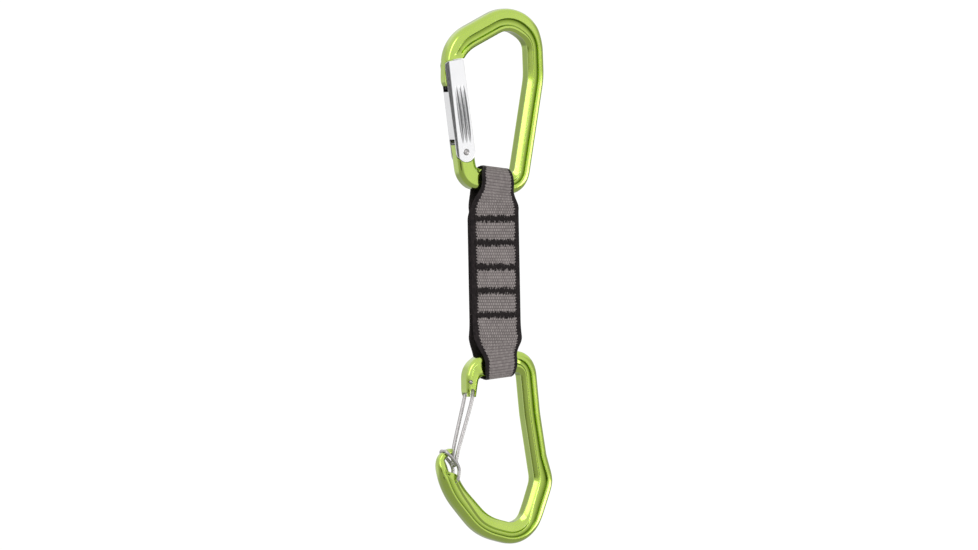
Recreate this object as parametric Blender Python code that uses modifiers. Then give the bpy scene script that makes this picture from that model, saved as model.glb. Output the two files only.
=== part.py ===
"""Climbing quickdraw: a solid-gate bolt carabiner, a sewn sling and a wire-gate rope carabiner.

Units are metres and +Z is up. Both carabiners lie in the XZ plane, gates towards -X and spines
towards +X. The origin is the hanger seat: the inside of the upper bow, where a bolt hanger sits.
"""

import math

import bmesh
import bpy
import numpy as np
from mathutils import Vector

# Clearances between pieces that touch and between round pieces and their bores
SEAT_GAP = 0.0003
RUN_GAP = 0.0002

# Forged I-beam that both carabiner frames share
FRAME_THICKNESS = 0.0096
FRAME_EDGE = 0.0022
BAR_EDGE = 0.0030
BAR_HEIGHT = 0.0115
RECESS_DEPTH = 0.0014
RECESS_WALL = 0.0008
INNER_LAND = 0.0025

# Bolt carabiner, widths in its plane
BOLT_NOSE_WIDTH = 0.0064
BOLT_BOW_WIDTH = 0.0122
BOLT_SPINE_WIDTH = 0.0094
BOLT_ARM_WIDTH = 0.0102
BOLT_BOW_RIM = 0.0052
BOLT_SPINE_RIM = 0.0034
NOSE_BLADE = 0.0048
TONGUE_THICKNESS = 0.0048

# Bolt carabiner, corners (x, z) and bend radii of its middle line, from the nose to the pivot arm
BOLT_NOSE_TIP = (-0.0355, -0.0304)
BOLT_SHOULDER = (-0.0315, -0.0078)
BOLT_SHOULDER_BEND = 0.020
BOLT_CROWN = (0.0158, 0.0162)
BOLT_CROWN_BEND = 0.017
BOLT_WAIST = (0.0174, -0.0249)
BOLT_WAIST_BEND = 0.040
BOLT_HEEL = (0.0075, -0.0832)
BOLT_HEEL_BEND = 0.008
BOLT_TOE = (-0.0238, -0.0797)
BOLT_TOE_BEND = 0.007
BOLT_PIVOT = (-0.0259, -0.0657)

# Solid gate, in its own frame: origin on the rivet, z along the gate, x towards the spine
GATE_LEAN = math.radians(8.3)
GATE_LENGTH = 0.0500
GATE_THICKNESS = 0.0090
GATE_FOOT_RADIUS = 0.0054
GATE_TOP_WIDTH = 0.0108
GATE_CORNER = 0.0013
GATE_EDGE = 0.0014
NOSE_SLOT_WALL = 0.0004
NOSE_SLOT_BOTTOM = 0.0335
TONGUE_HEIGHT = 0.0046
FOOT_SLOT_ROOM = 0.0030
RIVET_RADIUS = 0.0015
RIVET_HEAD_RISE = 0.00015
BORE_RADIUS = 0.0021
BORE_OFFSET = 0.0010
BORE_TOP = 0.0310
PLUNGER_LENGTH = 0.0085
SPRING_WIRE_RADIUS = 0.0003
SPRING_TURNS = 9

# Sling: one webbing strip with a narrow loop at each end, three layers where it is sewn
WEBBING_THICKNESS = 0.0015
WEBBING_EDGE = 0.0005
LOOP_WIDTH = 0.0196
LOOP_TAPER_NEAR = 0.0025
LOOP_TAPER_FAR = 0.0165
LOOP_TUCK = 0.0038
SEWN_WIDTH = 0.0277
SLING_SPAN = 0.0983
SLING_LEAN = 0.0021
SLING_TOP_X = -0.0081
SEWN_CENTRE = 0.0460
SEWN_LENGTH = 0.0580
TAIL_SHORTFALL = 0.0030
LOOP_WRAP = math.radians(20.0)
TACK_COUNT = 5
TACK_PITCH = 0.01295
TACK_WIDTH = 0.0245
TACK_HEIGHT = 0.0027
TACK_PAD = 0.0007
TACK_POST = 0.0010
TACK_POSTS = 3

# Rope carabiner, widths in its plane; its frame's origin is on the bar that carries the sling
ROPE_HOOK_WIDTH = 0.0036
ROPE_HOOK_THICKNESS = 0.0048
ROPE_NOSE_WIDTH = 0.0052
ROPE_NOSE_THICKNESS = 0.0070
ROPE_BASKET_WIDTH = 0.0116
ROPE_SPINE_WIDTH = 0.0095
ROPE_ARM_WIDTH = 0.0076
ROPE_BASKET_RIM = 0.0048
ROPE_SPINE_RIM = 0.0034
ROPE_NOTCH_STEP = 0.0046
ROPE_SPUR_RISE = 0.0018

# Rope carabiner, corners (x, z) and bend radii of its middle line, from the hook to the pivot arm
ROPE_HOOK_TIP = (-0.0262, -0.0463)
ROPE_HOOK = (-0.0340, -0.0503)
ROPE_HOOK_BEND = 0.0035
ROPE_CHEST = (-0.0313, -0.0665)
ROPE_CHEST_BEND = 0.034
ROPE_BASKET = (-0.0075, -0.0881)
ROPE_BASKET_BEND = 0.030
ROPE_BOTTOM = (0.01705, -0.0940)
ROPE_BOTTOM_BEND = 0.013
ROPE_SPUR = (0.0273, -0.0632)
ROPE_SPUR_BEND = 0.015
ROPE_WAIST = (0.0211, -0.0272)
ROPE_WAIST_BEND = 0.060
ROPE_HEEL = (0.0180, 0.0021)
ROPE_HEEL_BEND = 0.008
ROPE_TOE = (-0.0148, -0.0018)
ROPE_TOE_BEND = 0.0075
ROPE_ARM_END = (-0.0161, -0.0178)

# Wire gate and hood of the rope carabiner
WIRE_RADIUS = 0.0010
WIRE_PIVOT = (-0.01725, -0.0099)
WIRE_EXIT = (0.0011, -0.0074)
WIRE_EXIT_SKEW = 0.0013
WIRE_LIP = (-0.0065, -0.0352)
WIRE_LIP_SKEW = 0.0008
WIRE_TIP = (-0.0083, -0.0450)
WIRE_TIP_HALF = 0.00145
FORK_WALL = 0.0015
EXIT_NOTCH_WIDTH = 0.0031
EXIT_NOTCH_TOP = 0.0037
HOOD_RADIUS = 0.00095
HOOD_BEND = (-0.0318, -0.0472)
HOOD_ROUTE = ((-0.0309, -0.0483), (-0.0286, -0.0502), (-0.0254, -0.0537), (-0.0240, -0.0570),
              (-0.0243, -0.0604))
HOOD_END = (-0.0251, -0.0640)
HOOD_BOW = 0.0003
NOTCH_WEB = 0.0038
FLANGE_END = ((-0.0300, -0.0540), (-0.0300, -0.0575), (-0.0294, -0.0600), (-0.0282, -0.0627), (-0.0200, -0.0622),
              (-0.0200, -0.0540))
HOOD_END_HALF = 0.0029
HOOD_HOLE_DEPTH = 0.0025

# How finely curves are cut into facets
ARC_STEP = math.radians(13.0)
LINE_STEP = 0.0085
ROUND_SIDES = 20
COIL_POINTS = 10

GREEN = ("anodised_green", (0.36, 0.56, 0.05, 1.0), 0.28, 0.9)
SILVER = ("polished_aluminium", (0.86, 0.86, 0.87, 1.0), 0.18, 1.0)
STAINLESS = ("stainless_wire", (0.72, 0.71, 0.70, 1.0), 0.25, 1.0)
SPRING_STEEL = ("spring_steel", (0.50, 0.50, 0.52, 1.0), 0.35, 1.0)
WEBBING_GREY = ("woven_webbing", (0.33, 0.29, 0.28, 1.0), 0.85, 0.0)
THREAD = ("bar_tack_thread", (0.03, 0.025, 0.025, 1.0), 0.8, 0.0)


def clear_scene():
    for obj in list(bpy.data.objects):
        bpy.data.objects.remove(obj)
    for name in ("quickdraw", "cutters"):
        bpy.context.scene.collection.children.link(bpy.data.collections.new(name))


def finish_of(look):
    name, colour, roughness, metallic = look
    found = bpy.data.materials.get(name)
    if found:
        return found
    made = bpy.data.materials.new(name)
    made.use_nodes = True
    shader = made.node_tree.nodes["Principled BSDF"]
    shader.inputs["Base Color"].default_value = colour
    shader.inputs["Roughness"].default_value = roughness
    shader.inputs["Metallic"].default_value = metallic
    return made


def add_part(name, data, look, parent=None):
    obj = bpy.data.objects.new(name, data)
    bpy.data.collections["quickdraw"].objects.link(obj)
    data.materials.append(finish_of(look))
    obj.parent = parent
    return obj


def add_empty(name, place, parent=None, turn=0.0):
    empty = bpy.data.objects.new(name, None)
    bpy.data.collections["quickdraw"].objects.link(empty)
    empty.location = place
    empty.rotation_euler = (0.0, turn, 0.0)
    empty.parent = parent
    return empty


def add_cutter(name, mesh, parent=None):
    obj = bpy.data.objects.new(name, mesh)
    bpy.data.collections["cutters"].objects.link(obj)
    obj.hide_render = True
    obj.display_type = "WIRE"
    obj.parent = parent
    return obj


def cut(target, *cutters):
    for cutter in cutters:
        modifier = target.modifiers.new(cutter.name, "BOOLEAN")
        modifier.operation = "DIFFERENCE"
        modifier.solver = "EXACT"
        modifier.object = cutter


def mesh_from(bm, name, smooth=False):
    bmesh.ops.recalc_face_normals(bm, faces=bm.faces[:])
    mesh = bpy.data.meshes.new(name)
    bm.to_mesh(mesh)
    bm.free()
    if smooth:
        mesh.shade_smooth()
        mesh.set_sharp_from_angle(angle=math.radians(35.0))
    return mesh


def prism(name, outline, low, high):
    """A flat outline of (x, z) points, drawn out along Y from low to high."""
    bm = bmesh.new()
    face = bm.faces.new([bm.verts.new((x, low, z)) for x, z in outline])
    drawn = bmesh.ops.extrude_face_region(bm, geom=[face])["geom"]
    moved = [item for item in drawn if isinstance(item, bmesh.types.BMVert)]
    bmesh.ops.translate(bm, verts=moved, vec=(0.0, high - low, 0.0))
    return mesh_from(bm, name)


def boxes(name, spans):
    """One mesh of separate boxes, each given by its low and high corners."""
    bm = bmesh.new()
    for low, high in spans:
        made = bmesh.ops.create_cube(bm, size=1.0)["verts"]
        size = Vector(high) - Vector(low)
        bmesh.ops.scale(bm, verts=made, vec=size)
        bmesh.ops.translate(bm, verts=made, vec=(Vector(high) + Vector(low)) / 2)
    return mesh_from(bm, name)


def rod(name, radius, start, end, sides=ROUND_SIDES):
    """A round rod between two points."""
    bm = bmesh.new()
    run = Vector(end) - Vector(start)
    turn = run.to_track_quat("Z", "Y").to_matrix().to_4x4()
    turn.translation = (Vector(start) + Vector(end)) / 2
    bmesh.ops.create_cone(
        bm, cap_ends=True, segments=sides, radius1=radius, radius2=radius, depth=run.length, matrix=turn
    )
    return mesh_from(bm, name, smooth=True)


def arc(centre, radius, start, end, steps):
    angles = np.linspace(start, end, steps + 1)
    return [(centre[0] + radius * math.cos(a), centre[1] + radius * math.sin(a)) for a in angles]


def smooth_route(points, steps):
    """Points on a Catmull-Rom curve through the given points."""
    knots = [Vector(p) for p in points]
    knots = [2 * knots[0] - knots[1]] + knots + [2 * knots[-1] - knots[-2]]
    route = []
    for a, b, c, d in zip(knots, knots[1:], knots[2:], knots[3:]):
        for t in np.arange(steps) / steps:
            route.append(
                0.5 * (2 * b + (c - a) * t + (2 * a - 5 * b + 4 * c - d) * t**2 + (3 * b - a - 3 * c + d) * t**3)
            )
    return route + [knots[-2]]


def wire(name, route, radius, look, parent, sides_step=2):
    curve = bpy.data.curves.new(name, "CURVE")
    curve.dimensions = "3D"
    curve.bevel_depth = radius
    curve.bevel_resolution = sides_step
    curve.use_fill_caps = True
    spline = curve.splines.new("POLY")
    spline.points.add(len(route) - 1)
    for point, place in zip(spline.points, route):
        point.co = (*place, 1.0)
    return add_part(name, curve, look, parent)


class MiddleLine:
    """Straight runs joined by arcs. Station k is the middle of the bend at corner k."""

    def __init__(self, corners):
        self.pieces = []
        self.marks = [0.0]
        self.length = 0.0
        self.turned = 0.0
        here = np.array(corners[0][:2])
        for before, corner, after in zip(corners, corners[1:], corners[2:]):
            here = self.add_bend(here, np.array(before[:2]), corner, np.array(after[:2]))
        self.add_run(here, np.array(corners[-1][:2]))
        self.marks.append(self.length)

    def add_run(self, start, end):
        length = float(np.hypot(*(end - start)))
        self.pieces.append(("run", self.length, length, start, (end - start) / length))
        self.length += length

    def add_bend(self, here, before, corner, after):
        place = np.array(corner[:2])
        radius = corner[2]
        way_in = (place - before) / np.hypot(*(place - before))
        way_out = (after - place) / np.hypot(*(after - place))
        turn = math.atan2(way_in[0] * way_out[1] - way_in[1] * way_out[0], float(way_in @ way_out))
        self.turned += turn
        reach = radius * math.tan(abs(turn) / 2)
        self.add_run(here, place - way_in * reach)
        side = math.copysign(1.0, turn)
        centre = place - way_in * reach + side * radius * np.array([-way_in[1], way_in[0]])
        self.pieces.append(("bend", self.length, radius * abs(turn), centre, (radius, side, way_in)))
        self.marks.append(self.length + radius * abs(turn) / 2)
        self.length += radius * abs(turn)
        return place + way_out * reach

    def at(self, distance):
        """The point and the direction at a distance along the line."""
        piece = next((p for p in self.pieces if distance <= p[1] + p[2]), self.pieces[-1])
        kind, start, _, place, more = piece
        if kind == "run":
            return place + more * (distance - start), more
        radius, side, way_in = more
        turned = side * (distance - start) / radius
        cosine = math.cos(turned)
        sine = math.sin(turned)
        way = np.array([way_in[0] * cosine - way_in[1] * sine, way_in[0] * sine + way_in[1] * cosine])
        return place + side * radius * np.array([way[1], -way[0]]), way

    def outward(self, way):
        """The direction away from the inside that the line goes round."""
        side = math.copysign(1.0, self.turned)
        return side * way[1], -side * way[0]

    def distance_at(self, station):
        return float(np.interp(station, range(len(self.marks)), self.marks))

    def stops(self, stations):
        """Distances to put a section at: the given stations, the bends' facets and steps along runs."""
        found = {round(self.distance_at(station), 6) for station in stations}
        for kind, start, length, _, more in self.pieces:
            if kind == "bend":
                count = max(3, math.ceil(length / more[0] / ARC_STEP))
            else:
                count = max(1, math.ceil(length / LINE_STEP))
            found |= {round(start + length * i / count, 6) for i in range(count + 1)}
        ordered = sorted(found)
        spread = [ordered[0]]
        for stop in ordered[1:]:
            if stop - spread[-1] > 0.0004:
                spread.append(stop)
        return spread


def beam_section(inner, outer, half, edge, rim, land, depth):
    """(outward, y) points round an I-beam that reaches inner and outer from its middle line."""
    room = min(1.0, 0.94 * (inner + outer) / (rim + land + 2 * RECESS_WALL))
    rim = rim * room
    land = land * room
    wall = RECESS_WALL * room
    edge = min(edge, 0.9 * rim, 0.9 * land, 0.8 * half)
    slant = edge * (1 - math.sqrt(0.5))
    side = [
        (outer, half - edge),
        (outer - slant, half - slant),
        (outer - edge, half),
        (outer - rim, half),
        (outer - rim - wall, half - depth),
        (-inner + land + wall, half - depth),
        (-inner + land, half),
        (-inner + edge, half),
        (-inner + slant, half - slant),
        (-inner, half - edge),
    ]
    return side + [(n, -y) for n, y in reversed(side)]


def lofted_frame(name, line, rows):
    """A frame swept along its middle line. Each row is a station and the section's seven sizes."""
    table = np.array(rows)
    marks = [line.distance_at(station) for station in table[:, 0]]
    bm = bmesh.new()
    rings = []
    for stop in line.stops(table[:, 0]):
        place, way = line.at(stop)
        outward = line.outward(way)
        sizes = [np.interp(stop, marks, column) for column in table[:, 1:].T]
        ring = [
            bm.verts.new((place[0] + n * outward[0], y, place[1] + n * outward[1]))
            for n, y in beam_section(*sizes)
        ]
        rings.append(ring)
    for ring, following in zip(rings, rings[1:]):
        for i in range(len(ring)):
            bm.faces.new((ring[i - 1], ring[i], following[i], following[i - 1]))
    bm.faces.new(rings[0])
    bm.faces.new(rings[-1])
    return mesh_from(bm, name, smooth=True)


def bolt_line():
    way = np.array(BOLT_PIVOT) - np.array(BOLT_TOE)
    arm_end = np.array(BOLT_PIVOT) + TONGUE_HEIGHT * way / np.hypot(*way)
    return MiddleLine(
        (
            (*BOLT_NOSE_TIP, 0.0),
            (*BOLT_SHOULDER, BOLT_SHOULDER_BEND),
            (*BOLT_CROWN, BOLT_CROWN_BEND),
            (*BOLT_WAIST, BOLT_WAIST_BEND),
            (*BOLT_HEEL, BOLT_HEEL_BEND),
            (*BOLT_TOE, BOLT_TOE_BEND),
            (*arm_end, 0.0),
        )
    )


def bolt_rows():
    nose = BOLT_NOSE_WIDTH / 2
    bow = BOLT_BOW_WIDTH / 2
    spine = BOLT_SPINE_WIDTH / 2
    bar = BAR_HEIGHT / 2
    arm = BOLT_ARM_WIDTH / 2
    half = FRAME_THICKNESS / 2
    plain = (half, FRAME_EDGE, INNER_LAND, INNER_LAND, 0.0)
    bowed = (half, FRAME_EDGE, BOLT_BOW_RIM, INNER_LAND, RECESS_DEPTH)
    ribbed = (half, FRAME_EDGE, BOLT_SPINE_RIM, INNER_LAND, RECESS_DEPTH)
    seat = (half, BAR_EDGE, BAR_EDGE + RECESS_WALL, BAR_EDGE + RECESS_WALL, 0.0)
    return (
        (0.00, 0.45 * nose, 0.45 * nose, *plain),
        (0.05, 0.85 * nose, 0.85 * nose, *plain),
        (0.12, nose, nose, *plain),
        (0.70, 0.8 * bow, 0.84 * bow, *plain),
        (0.82, 0.9 * bow, 0.9 * bow, half, FRAME_EDGE, BOLT_BOW_RIM, INNER_LAND, 0.0),
        (0.92, 0.93 * bow, 0.93 * bow, *bowed),
        (1.20, bow, bow, *bowed),
        (1.60, bow, bow, *bowed),
        (2.00, bow, bow, *bowed),
        (2.45, spine, spine, *ribbed),
        (3.90, spine, spine, *ribbed),
        (4.12, bar, bar, half, BAR_EDGE, BOLT_SPINE_RIM + RECESS_WALL, BAR_EDGE + RECESS_WALL, RECESS_DEPTH),
        (4.30, bar, bar, *seat),
        (4.78, bar, bar, *seat),
        (5.00, bar, 0.93 * bar, *plain),
        (5.40, arm, arm, *plain),
        (6.00, arm, 1.05 * arm, *plain),
    )


def gate_space(name, left, right, low, high, pivot):
    """Room that the gate sweeps near the nose, between two distances from the middle plane."""
    reach = math.hypot(GATE_LENGTH, GATE_TOP_WIDTH / 2) + SEAT_GAP
    floor = NOSE_SLOT_BOTTOM - GATE_TOP_WIDTH
    start = math.acos(right / reach)
    end = math.acos(left / reach)
    outline = [(left, floor), (right, floor)] + arc((0.0, 0.0), reach, start, end, 8)
    return add_cutter(name, prism(name, outline, low, high), pivot)


def foot_space(name, low, high, pivot):
    """Round pocket for one cheek of the gate's foot, open upwards."""
    reach = GATE_FOOT_RADIUS + SEAT_GAP
    outline = arc((0.0, 0.0), reach, math.pi, 2 * math.pi, ROUND_SIDES)
    outline += [(reach, 2 * reach), (-reach, 2 * reach)]
    return add_cutter(name, prism(name, outline, low, high), pivot)


def build_bolt_frame(pivot):
    frame = add_part("bolt_carabiner_frame", lofted_frame("bolt_carabiner_frame", bolt_line(), bolt_rows()), GREEN)
    wide = FRAME_THICKNESS
    blade = NOSE_BLADE / 2
    tongue = TONGUE_THICKNESS / 2
    side = 2 * GATE_FOOT_RADIUS
    hole = rod("rivet_hole_tongue", RIVET_RADIUS + RUN_GAP, (0.0, -wide, 0.0), (0.0, wide, 0.0))
    cut(
        frame,
        gate_space("cheek_room_front", -side, side, -wide, -blade, pivot),
        gate_space("cheek_room_back", -side, side, blade, wide, pivot),
        gate_space("wall_room", NOSE_SLOT_WALL - SEAT_GAP, side, -wide, wide, pivot),
        foot_space("foot_pocket_front", -wide, -tongue, pivot),
        foot_space("foot_pocket_back", tongue, wide, pivot),
        add_cutter("rivet_hole_tongue", hole, pivot),
    )


def build_gate(pivot):
    half = GATE_THICKNESS / 2
    top = GATE_TOP_WIDTH / 2
    outline = arc((0.0, 0.0), GATE_FOOT_RADIUS, math.pi, 2 * math.pi, 12)
    outline += arc((top - GATE_CORNER, GATE_LENGTH - GATE_CORNER), GATE_CORNER, 0.0, math.pi / 2, 3)
    outline += arc((-top + GATE_CORNER, GATE_LENGTH - GATE_CORNER), GATE_CORNER, math.pi / 2, math.pi, 3)
    gate = add_part("bolt_gate", prism("bolt_gate", outline, -half, half), SILVER, pivot)
    rounding = gate.modifiers.new("rounded_edges", "BEVEL")
    rounding.width = GATE_EDGE
    rounding.segments = 3
    rounding.limit_method = "ANGLE"
    rounding.angle_limit = math.radians(60.0)
    rounding.use_clamp_overlap = True

    blade = NOSE_BLADE / 2 + SEAT_GAP
    tongue = TONGUE_THICKNESS / 2 + SEAT_GAP
    wide = 2 * GATE_FOOT_RADIUS
    foot_top = TONGUE_HEIGHT + FOOT_SLOT_ROOM
    nose_slot = ((-wide, -blade, NOSE_SLOT_BOTTOM), (NOSE_SLOT_WALL, blade, GATE_LENGTH + wide))
    foot_slot = ((-wide, -tongue, -wide), (wide, tongue, foot_top))
    bore = rod("plunger_bore", BORE_RADIUS, (BORE_OFFSET, 0.0, foot_top / 2), (BORE_OFFSET, 0.0, BORE_TOP))
    hole = rod("rivet_hole_gate", RIVET_RADIUS + RUN_GAP, (0.0, -wide, 0.0), (0.0, wide, 0.0))
    cut(
        gate,
        add_cutter("nose_slot", boxes("nose_slot", [nose_slot]), pivot),
        add_cutter("foot_slot", boxes("foot_slot", [foot_slot]), pivot),
        add_cutter("plunger_bore", bore, pivot),
        add_cutter("rivet_hole_gate", hole, pivot),
    )

    reach = half + RIVET_HEAD_RISE
    rivet = rod("bolt_gate_rivet", RIVET_RADIUS, (0.0, -reach, 0.0), (0.0, reach, 0.0))
    add_part("bolt_gate_rivet", rivet, STAINLESS, pivot)


def build_plunger_and_spring(pivot):
    radius = BORE_RADIUS - RUN_GAP
    tip = TONGUE_HEIGHT + SEAT_GAP
    top = tip + PLUNGER_LENGTH
    profile = [(0.0, top), (radius, top)] + arc((0.0, tip + radius), radius, 0.0, -math.pi / 2, 5)
    bm = bmesh.new()
    points = [bm.verts.new((x, 0.0, z)) for x, z in profile]
    for first, second in zip(points, points[1:]):
        bm.edges.new((first, second))
    mesh = bpy.data.meshes.new("bolt_gate_plunger")
    bm.to_mesh(mesh)
    bm.free()
    plunger = add_part("bolt_gate_plunger", mesh, STAINLESS, pivot)
    plunger.location = (BORE_OFFSET, 0.0, 0.0)
    turned = plunger.modifiers.new("turned", "SCREW")
    turned.steps = ROUND_SIDES
    turned.render_steps = ROUND_SIDES
    turned.use_merge_vertices = True
    turned.merge_threshold = 0.00001

    low = top + SEAT_GAP + SPRING_WIRE_RADIUS
    high = BORE_TOP - SEAT_GAP - SPRING_WIRE_RADIUS
    coil = radius - SPRING_WIRE_RADIUS
    count = SPRING_TURNS * COIL_POINTS
    route = []
    for i in range(count + 1):
        angle = 2 * math.pi * i / COIL_POINTS
        height = low + (high - low) * i / count
        route.append((BORE_OFFSET + coil * math.cos(angle), coil * math.sin(angle), height))
    wire("bolt_gate_spring", route, SPRING_WIRE_RADIUS, SPRING_STEEL, pivot, sides_step=1)


def bar_slope(toe, heel):
    return (heel[1] - toe[1]) / (heel[0] - toe[0])


def sling_top():
    """The place on the bolt carabiner's bar that the sling hangs from."""
    rise = bar_slope(BOLT_TOE, BOLT_HEEL) * (SLING_TOP_X - BOLT_TOE[0])
    return (SLING_TOP_X, 0.0, BOLT_TOE[1] + rise)


def loop_radius():
    """Middle radius of a sling loop that turns freely round the bar."""
    corner = math.hypot(BAR_HEIGHT / 2 - BAR_EDGE, FRAME_THICKNESS / 2 - BAR_EDGE) + BAR_EDGE
    return corner + SEAT_GAP + WEBBING_THICKNESS / 2


def leg(start, start_way, end, end_way, steps):
    """Inner points of a smooth curve from a loop to the sewn stretch, or back."""
    size = math.dist(start, end)
    points = []
    for t in np.linspace(0.0, 1.0, steps + 1)[1:-1]:
        weights = (2 * t**3 - 3 * t**2 + 1, t**3 - 2 * t**2 + t, 3 * t**2 - 2 * t**3, t**3 - t**2)
        parts = (start, np.array(start_way) * size, end, np.array(end_way) * size)
        points.append(tuple(sum(w * np.array(p) for w, p in zip(weights, parts))))
    return points


def sling_route():
    """(y, z) points along the webbing strip, from its hidden tail to its outer tail."""
    radius = loop_radius()
    pitch = WEBBING_THICKNESS + SEAT_GAP
    top = SEWN_LENGTH / 2 - SEWN_CENTRE
    bottom = -SEWN_LENGTH / 2 - SEWN_CENTRE
    upper = arc((0.0, 0.0), radius, -LOOP_WRAP, math.pi + LOOP_WRAP, 14)
    lower = arc((0.0, -SLING_SPAN), radius, math.pi - LOOP_WRAP, 2 * math.pi + LOOP_WRAP, 14)
    lean = (math.sin(LOOP_WRAP), math.cos(LOOP_WRAP))
    up = (0.0, 1.0)
    down = (0.0, -1.0)
    route = [(0.0, bottom + TAIL_SHORTFALL), (0.0, top)]
    route += leg((0.0, top), up, upper[0], lean, 7) + upper
    route += leg(upper[-1], (lean[0], -lean[1]), (-pitch, top), down, 7)
    route += [(-pitch, top), (-pitch, bottom)]
    route += leg((-pitch, bottom), down, lower[0], (-lean[0], -lean[1]), 7) + lower
    route += leg(lower[-1], (-lean[0], lean[1]), (pitch, bottom), up, 7)
    return route + [(pitch, bottom), (pitch, top - TAIL_SHORTFALL)]


def eased(value):
    value = min(1.0, max(0.0, value))
    return value * value * (3 - 2 * value)


def sling_row(z):
    """Centre x, width and cross slope of the webbing at a height from the bolt carabiner's bar."""
    taper = LOOP_TAPER_FAR - LOOP_TAPER_NEAR
    upper = eased((z + LOOP_TAPER_FAR) / taper)
    lower = eased((LOOP_TAPER_FAR - SLING_SPAN - z) / taper)
    width = SEWN_WIDTH + (LOOP_WIDTH - SEWN_WIDTH) * max(upper, lower)
    slope = upper * bar_slope(BOLT_TOE, BOLT_HEEL) + lower * bar_slope(ROPE_TOE, ROPE_HEEL)
    centre = SLING_LEAN * min(1.0, max(0.0, -z / SLING_SPAN))
    crown = min(1.0, max(0.0, z, -z - SLING_SPAN) / loop_radius())
    tuck = LOOP_TUCK * crown**3
    return centre + tuck / 2, width - tuck, slope


def tack_heights():
    return [-SEWN_CENTRE + TACK_PITCH * (i - (TACK_COUNT - 1) / 2) for i in reversed(range(TACK_COUNT))]


def build_webbing(hanger):
    route = sling_route()
    half = WEBBING_THICKNESS / 2
    bm = bmesh.new()
    rings = []
    for i, (y, z) in enumerate(route):
        before = np.array(route[max(i - 1, 0)])
        after = np.array(route[min(i + 1, len(route) - 1)])
        way = (after - before) / np.hypot(*(after - before))
        centre, width, slope = sling_row(z)
        flat = width / 2 - WEBBING_EDGE
        ring = []
        for x, out in ((-width / 2, 0), (-flat, 1), (flat, 1), (width / 2, 0), (flat, -1), (-flat, -1)):
            y_there = y - out * half * way[1]
            z_there = z + out * half * way[0] + slope * x
            ring.append(bm.verts.new((centre + x, y_there, z_there)))
        rings.append(ring)
    for ring, following in zip(rings, rings[1:]):
        for i in range(len(ring)):
            bm.faces.new((ring[i - 1], ring[i], following[i], following[i - 1]))
    bm.faces.new(rings[0])
    bm.faces.new(rings[-1])
    webbing = add_part("sling_webbing", mesh_from(bm, "sling_webbing", smooth=True), WEBBING_GREY, hanger)

    depth = 2 * (WEBBING_THICKNESS + SEAT_GAP) + WEBBING_THICKNESS
    slots = []
    for z in tack_heights():
        for x in post_places():
            low = (sling_row(z)[0] + x - TACK_POST / 2 - RUN_GAP, -depth, z - TACK_HEIGHT / 2 - RUN_GAP)
            high = (sling_row(z)[0] + x + TACK_POST / 2 + RUN_GAP, depth, z + TACK_HEIGHT / 2 + RUN_GAP)
            slots.append((low, high))
    cut(webbing, add_cutter("stitch_slots", boxes("stitch_slots", slots), hanger))


def post_places():
    reach = (TACK_WIDTH - TACK_POST) / 2
    return [float(x) for x in np.linspace(-reach, reach, TACK_POSTS)]


def rectangle(curve, left, right, low, high):
    spline = curve.splines.new("POLY")
    spline.use_cyclic_u = True
    corners = ((left, low), (right, low), (right, high), (left, high))
    spline.points.add(len(corners) - 1)
    for point, (x, y) in zip(spline.points, corners):
        point.co = (x, y, 0.0, 1.0)


def build_bar_tacks(hanger):
    """Each sewn bar is one ladder of thread: a pad on each face and stitches through the layers."""
    inside = 1.5 * WEBBING_THICKNESS + 2 * SEAT_GAP
    outside = inside + TACK_PAD
    posts = post_places()
    for number, z in enumerate(tack_heights(), start=1):
        name = f"bar_tack_{number}"
        curve = bpy.data.curves.new(name, "CURVE")
        curve.dimensions = "2D"
        curve.fill_mode = "BOTH"
        curve.extrude = TACK_HEIGHT / 2
        rectangle(curve, -TACK_WIDTH / 2, TACK_WIDTH / 2, -outside, outside)
        for left, right in zip(posts, posts[1:]):
            rectangle(curve, left + TACK_POST / 2, right - TACK_POST / 2, -inside, inside)
        tack = add_part(name, curve, THREAD, hanger)
        tack.location = (sling_row(z)[0], 0.0, z)


def rope_line():
    return MiddleLine(
        (
            (*ROPE_HOOK_TIP, 0.0),
            (*ROPE_HOOK, ROPE_HOOK_BEND),
            (*ROPE_CHEST, ROPE_CHEST_BEND),
            (*ROPE_BASKET, ROPE_BASKET_BEND),
            (*ROPE_BOTTOM, ROPE_BOTTOM_BEND),
            (*ROPE_SPUR, ROPE_SPUR_BEND),
            (*ROPE_WAIST, ROPE_WAIST_BEND),
            (*ROPE_HEEL, ROPE_HEEL_BEND),
            (*ROPE_TOE, ROPE_TOE_BEND),
            (*ROPE_ARM_END, 0.0),
        )
    )


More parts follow.
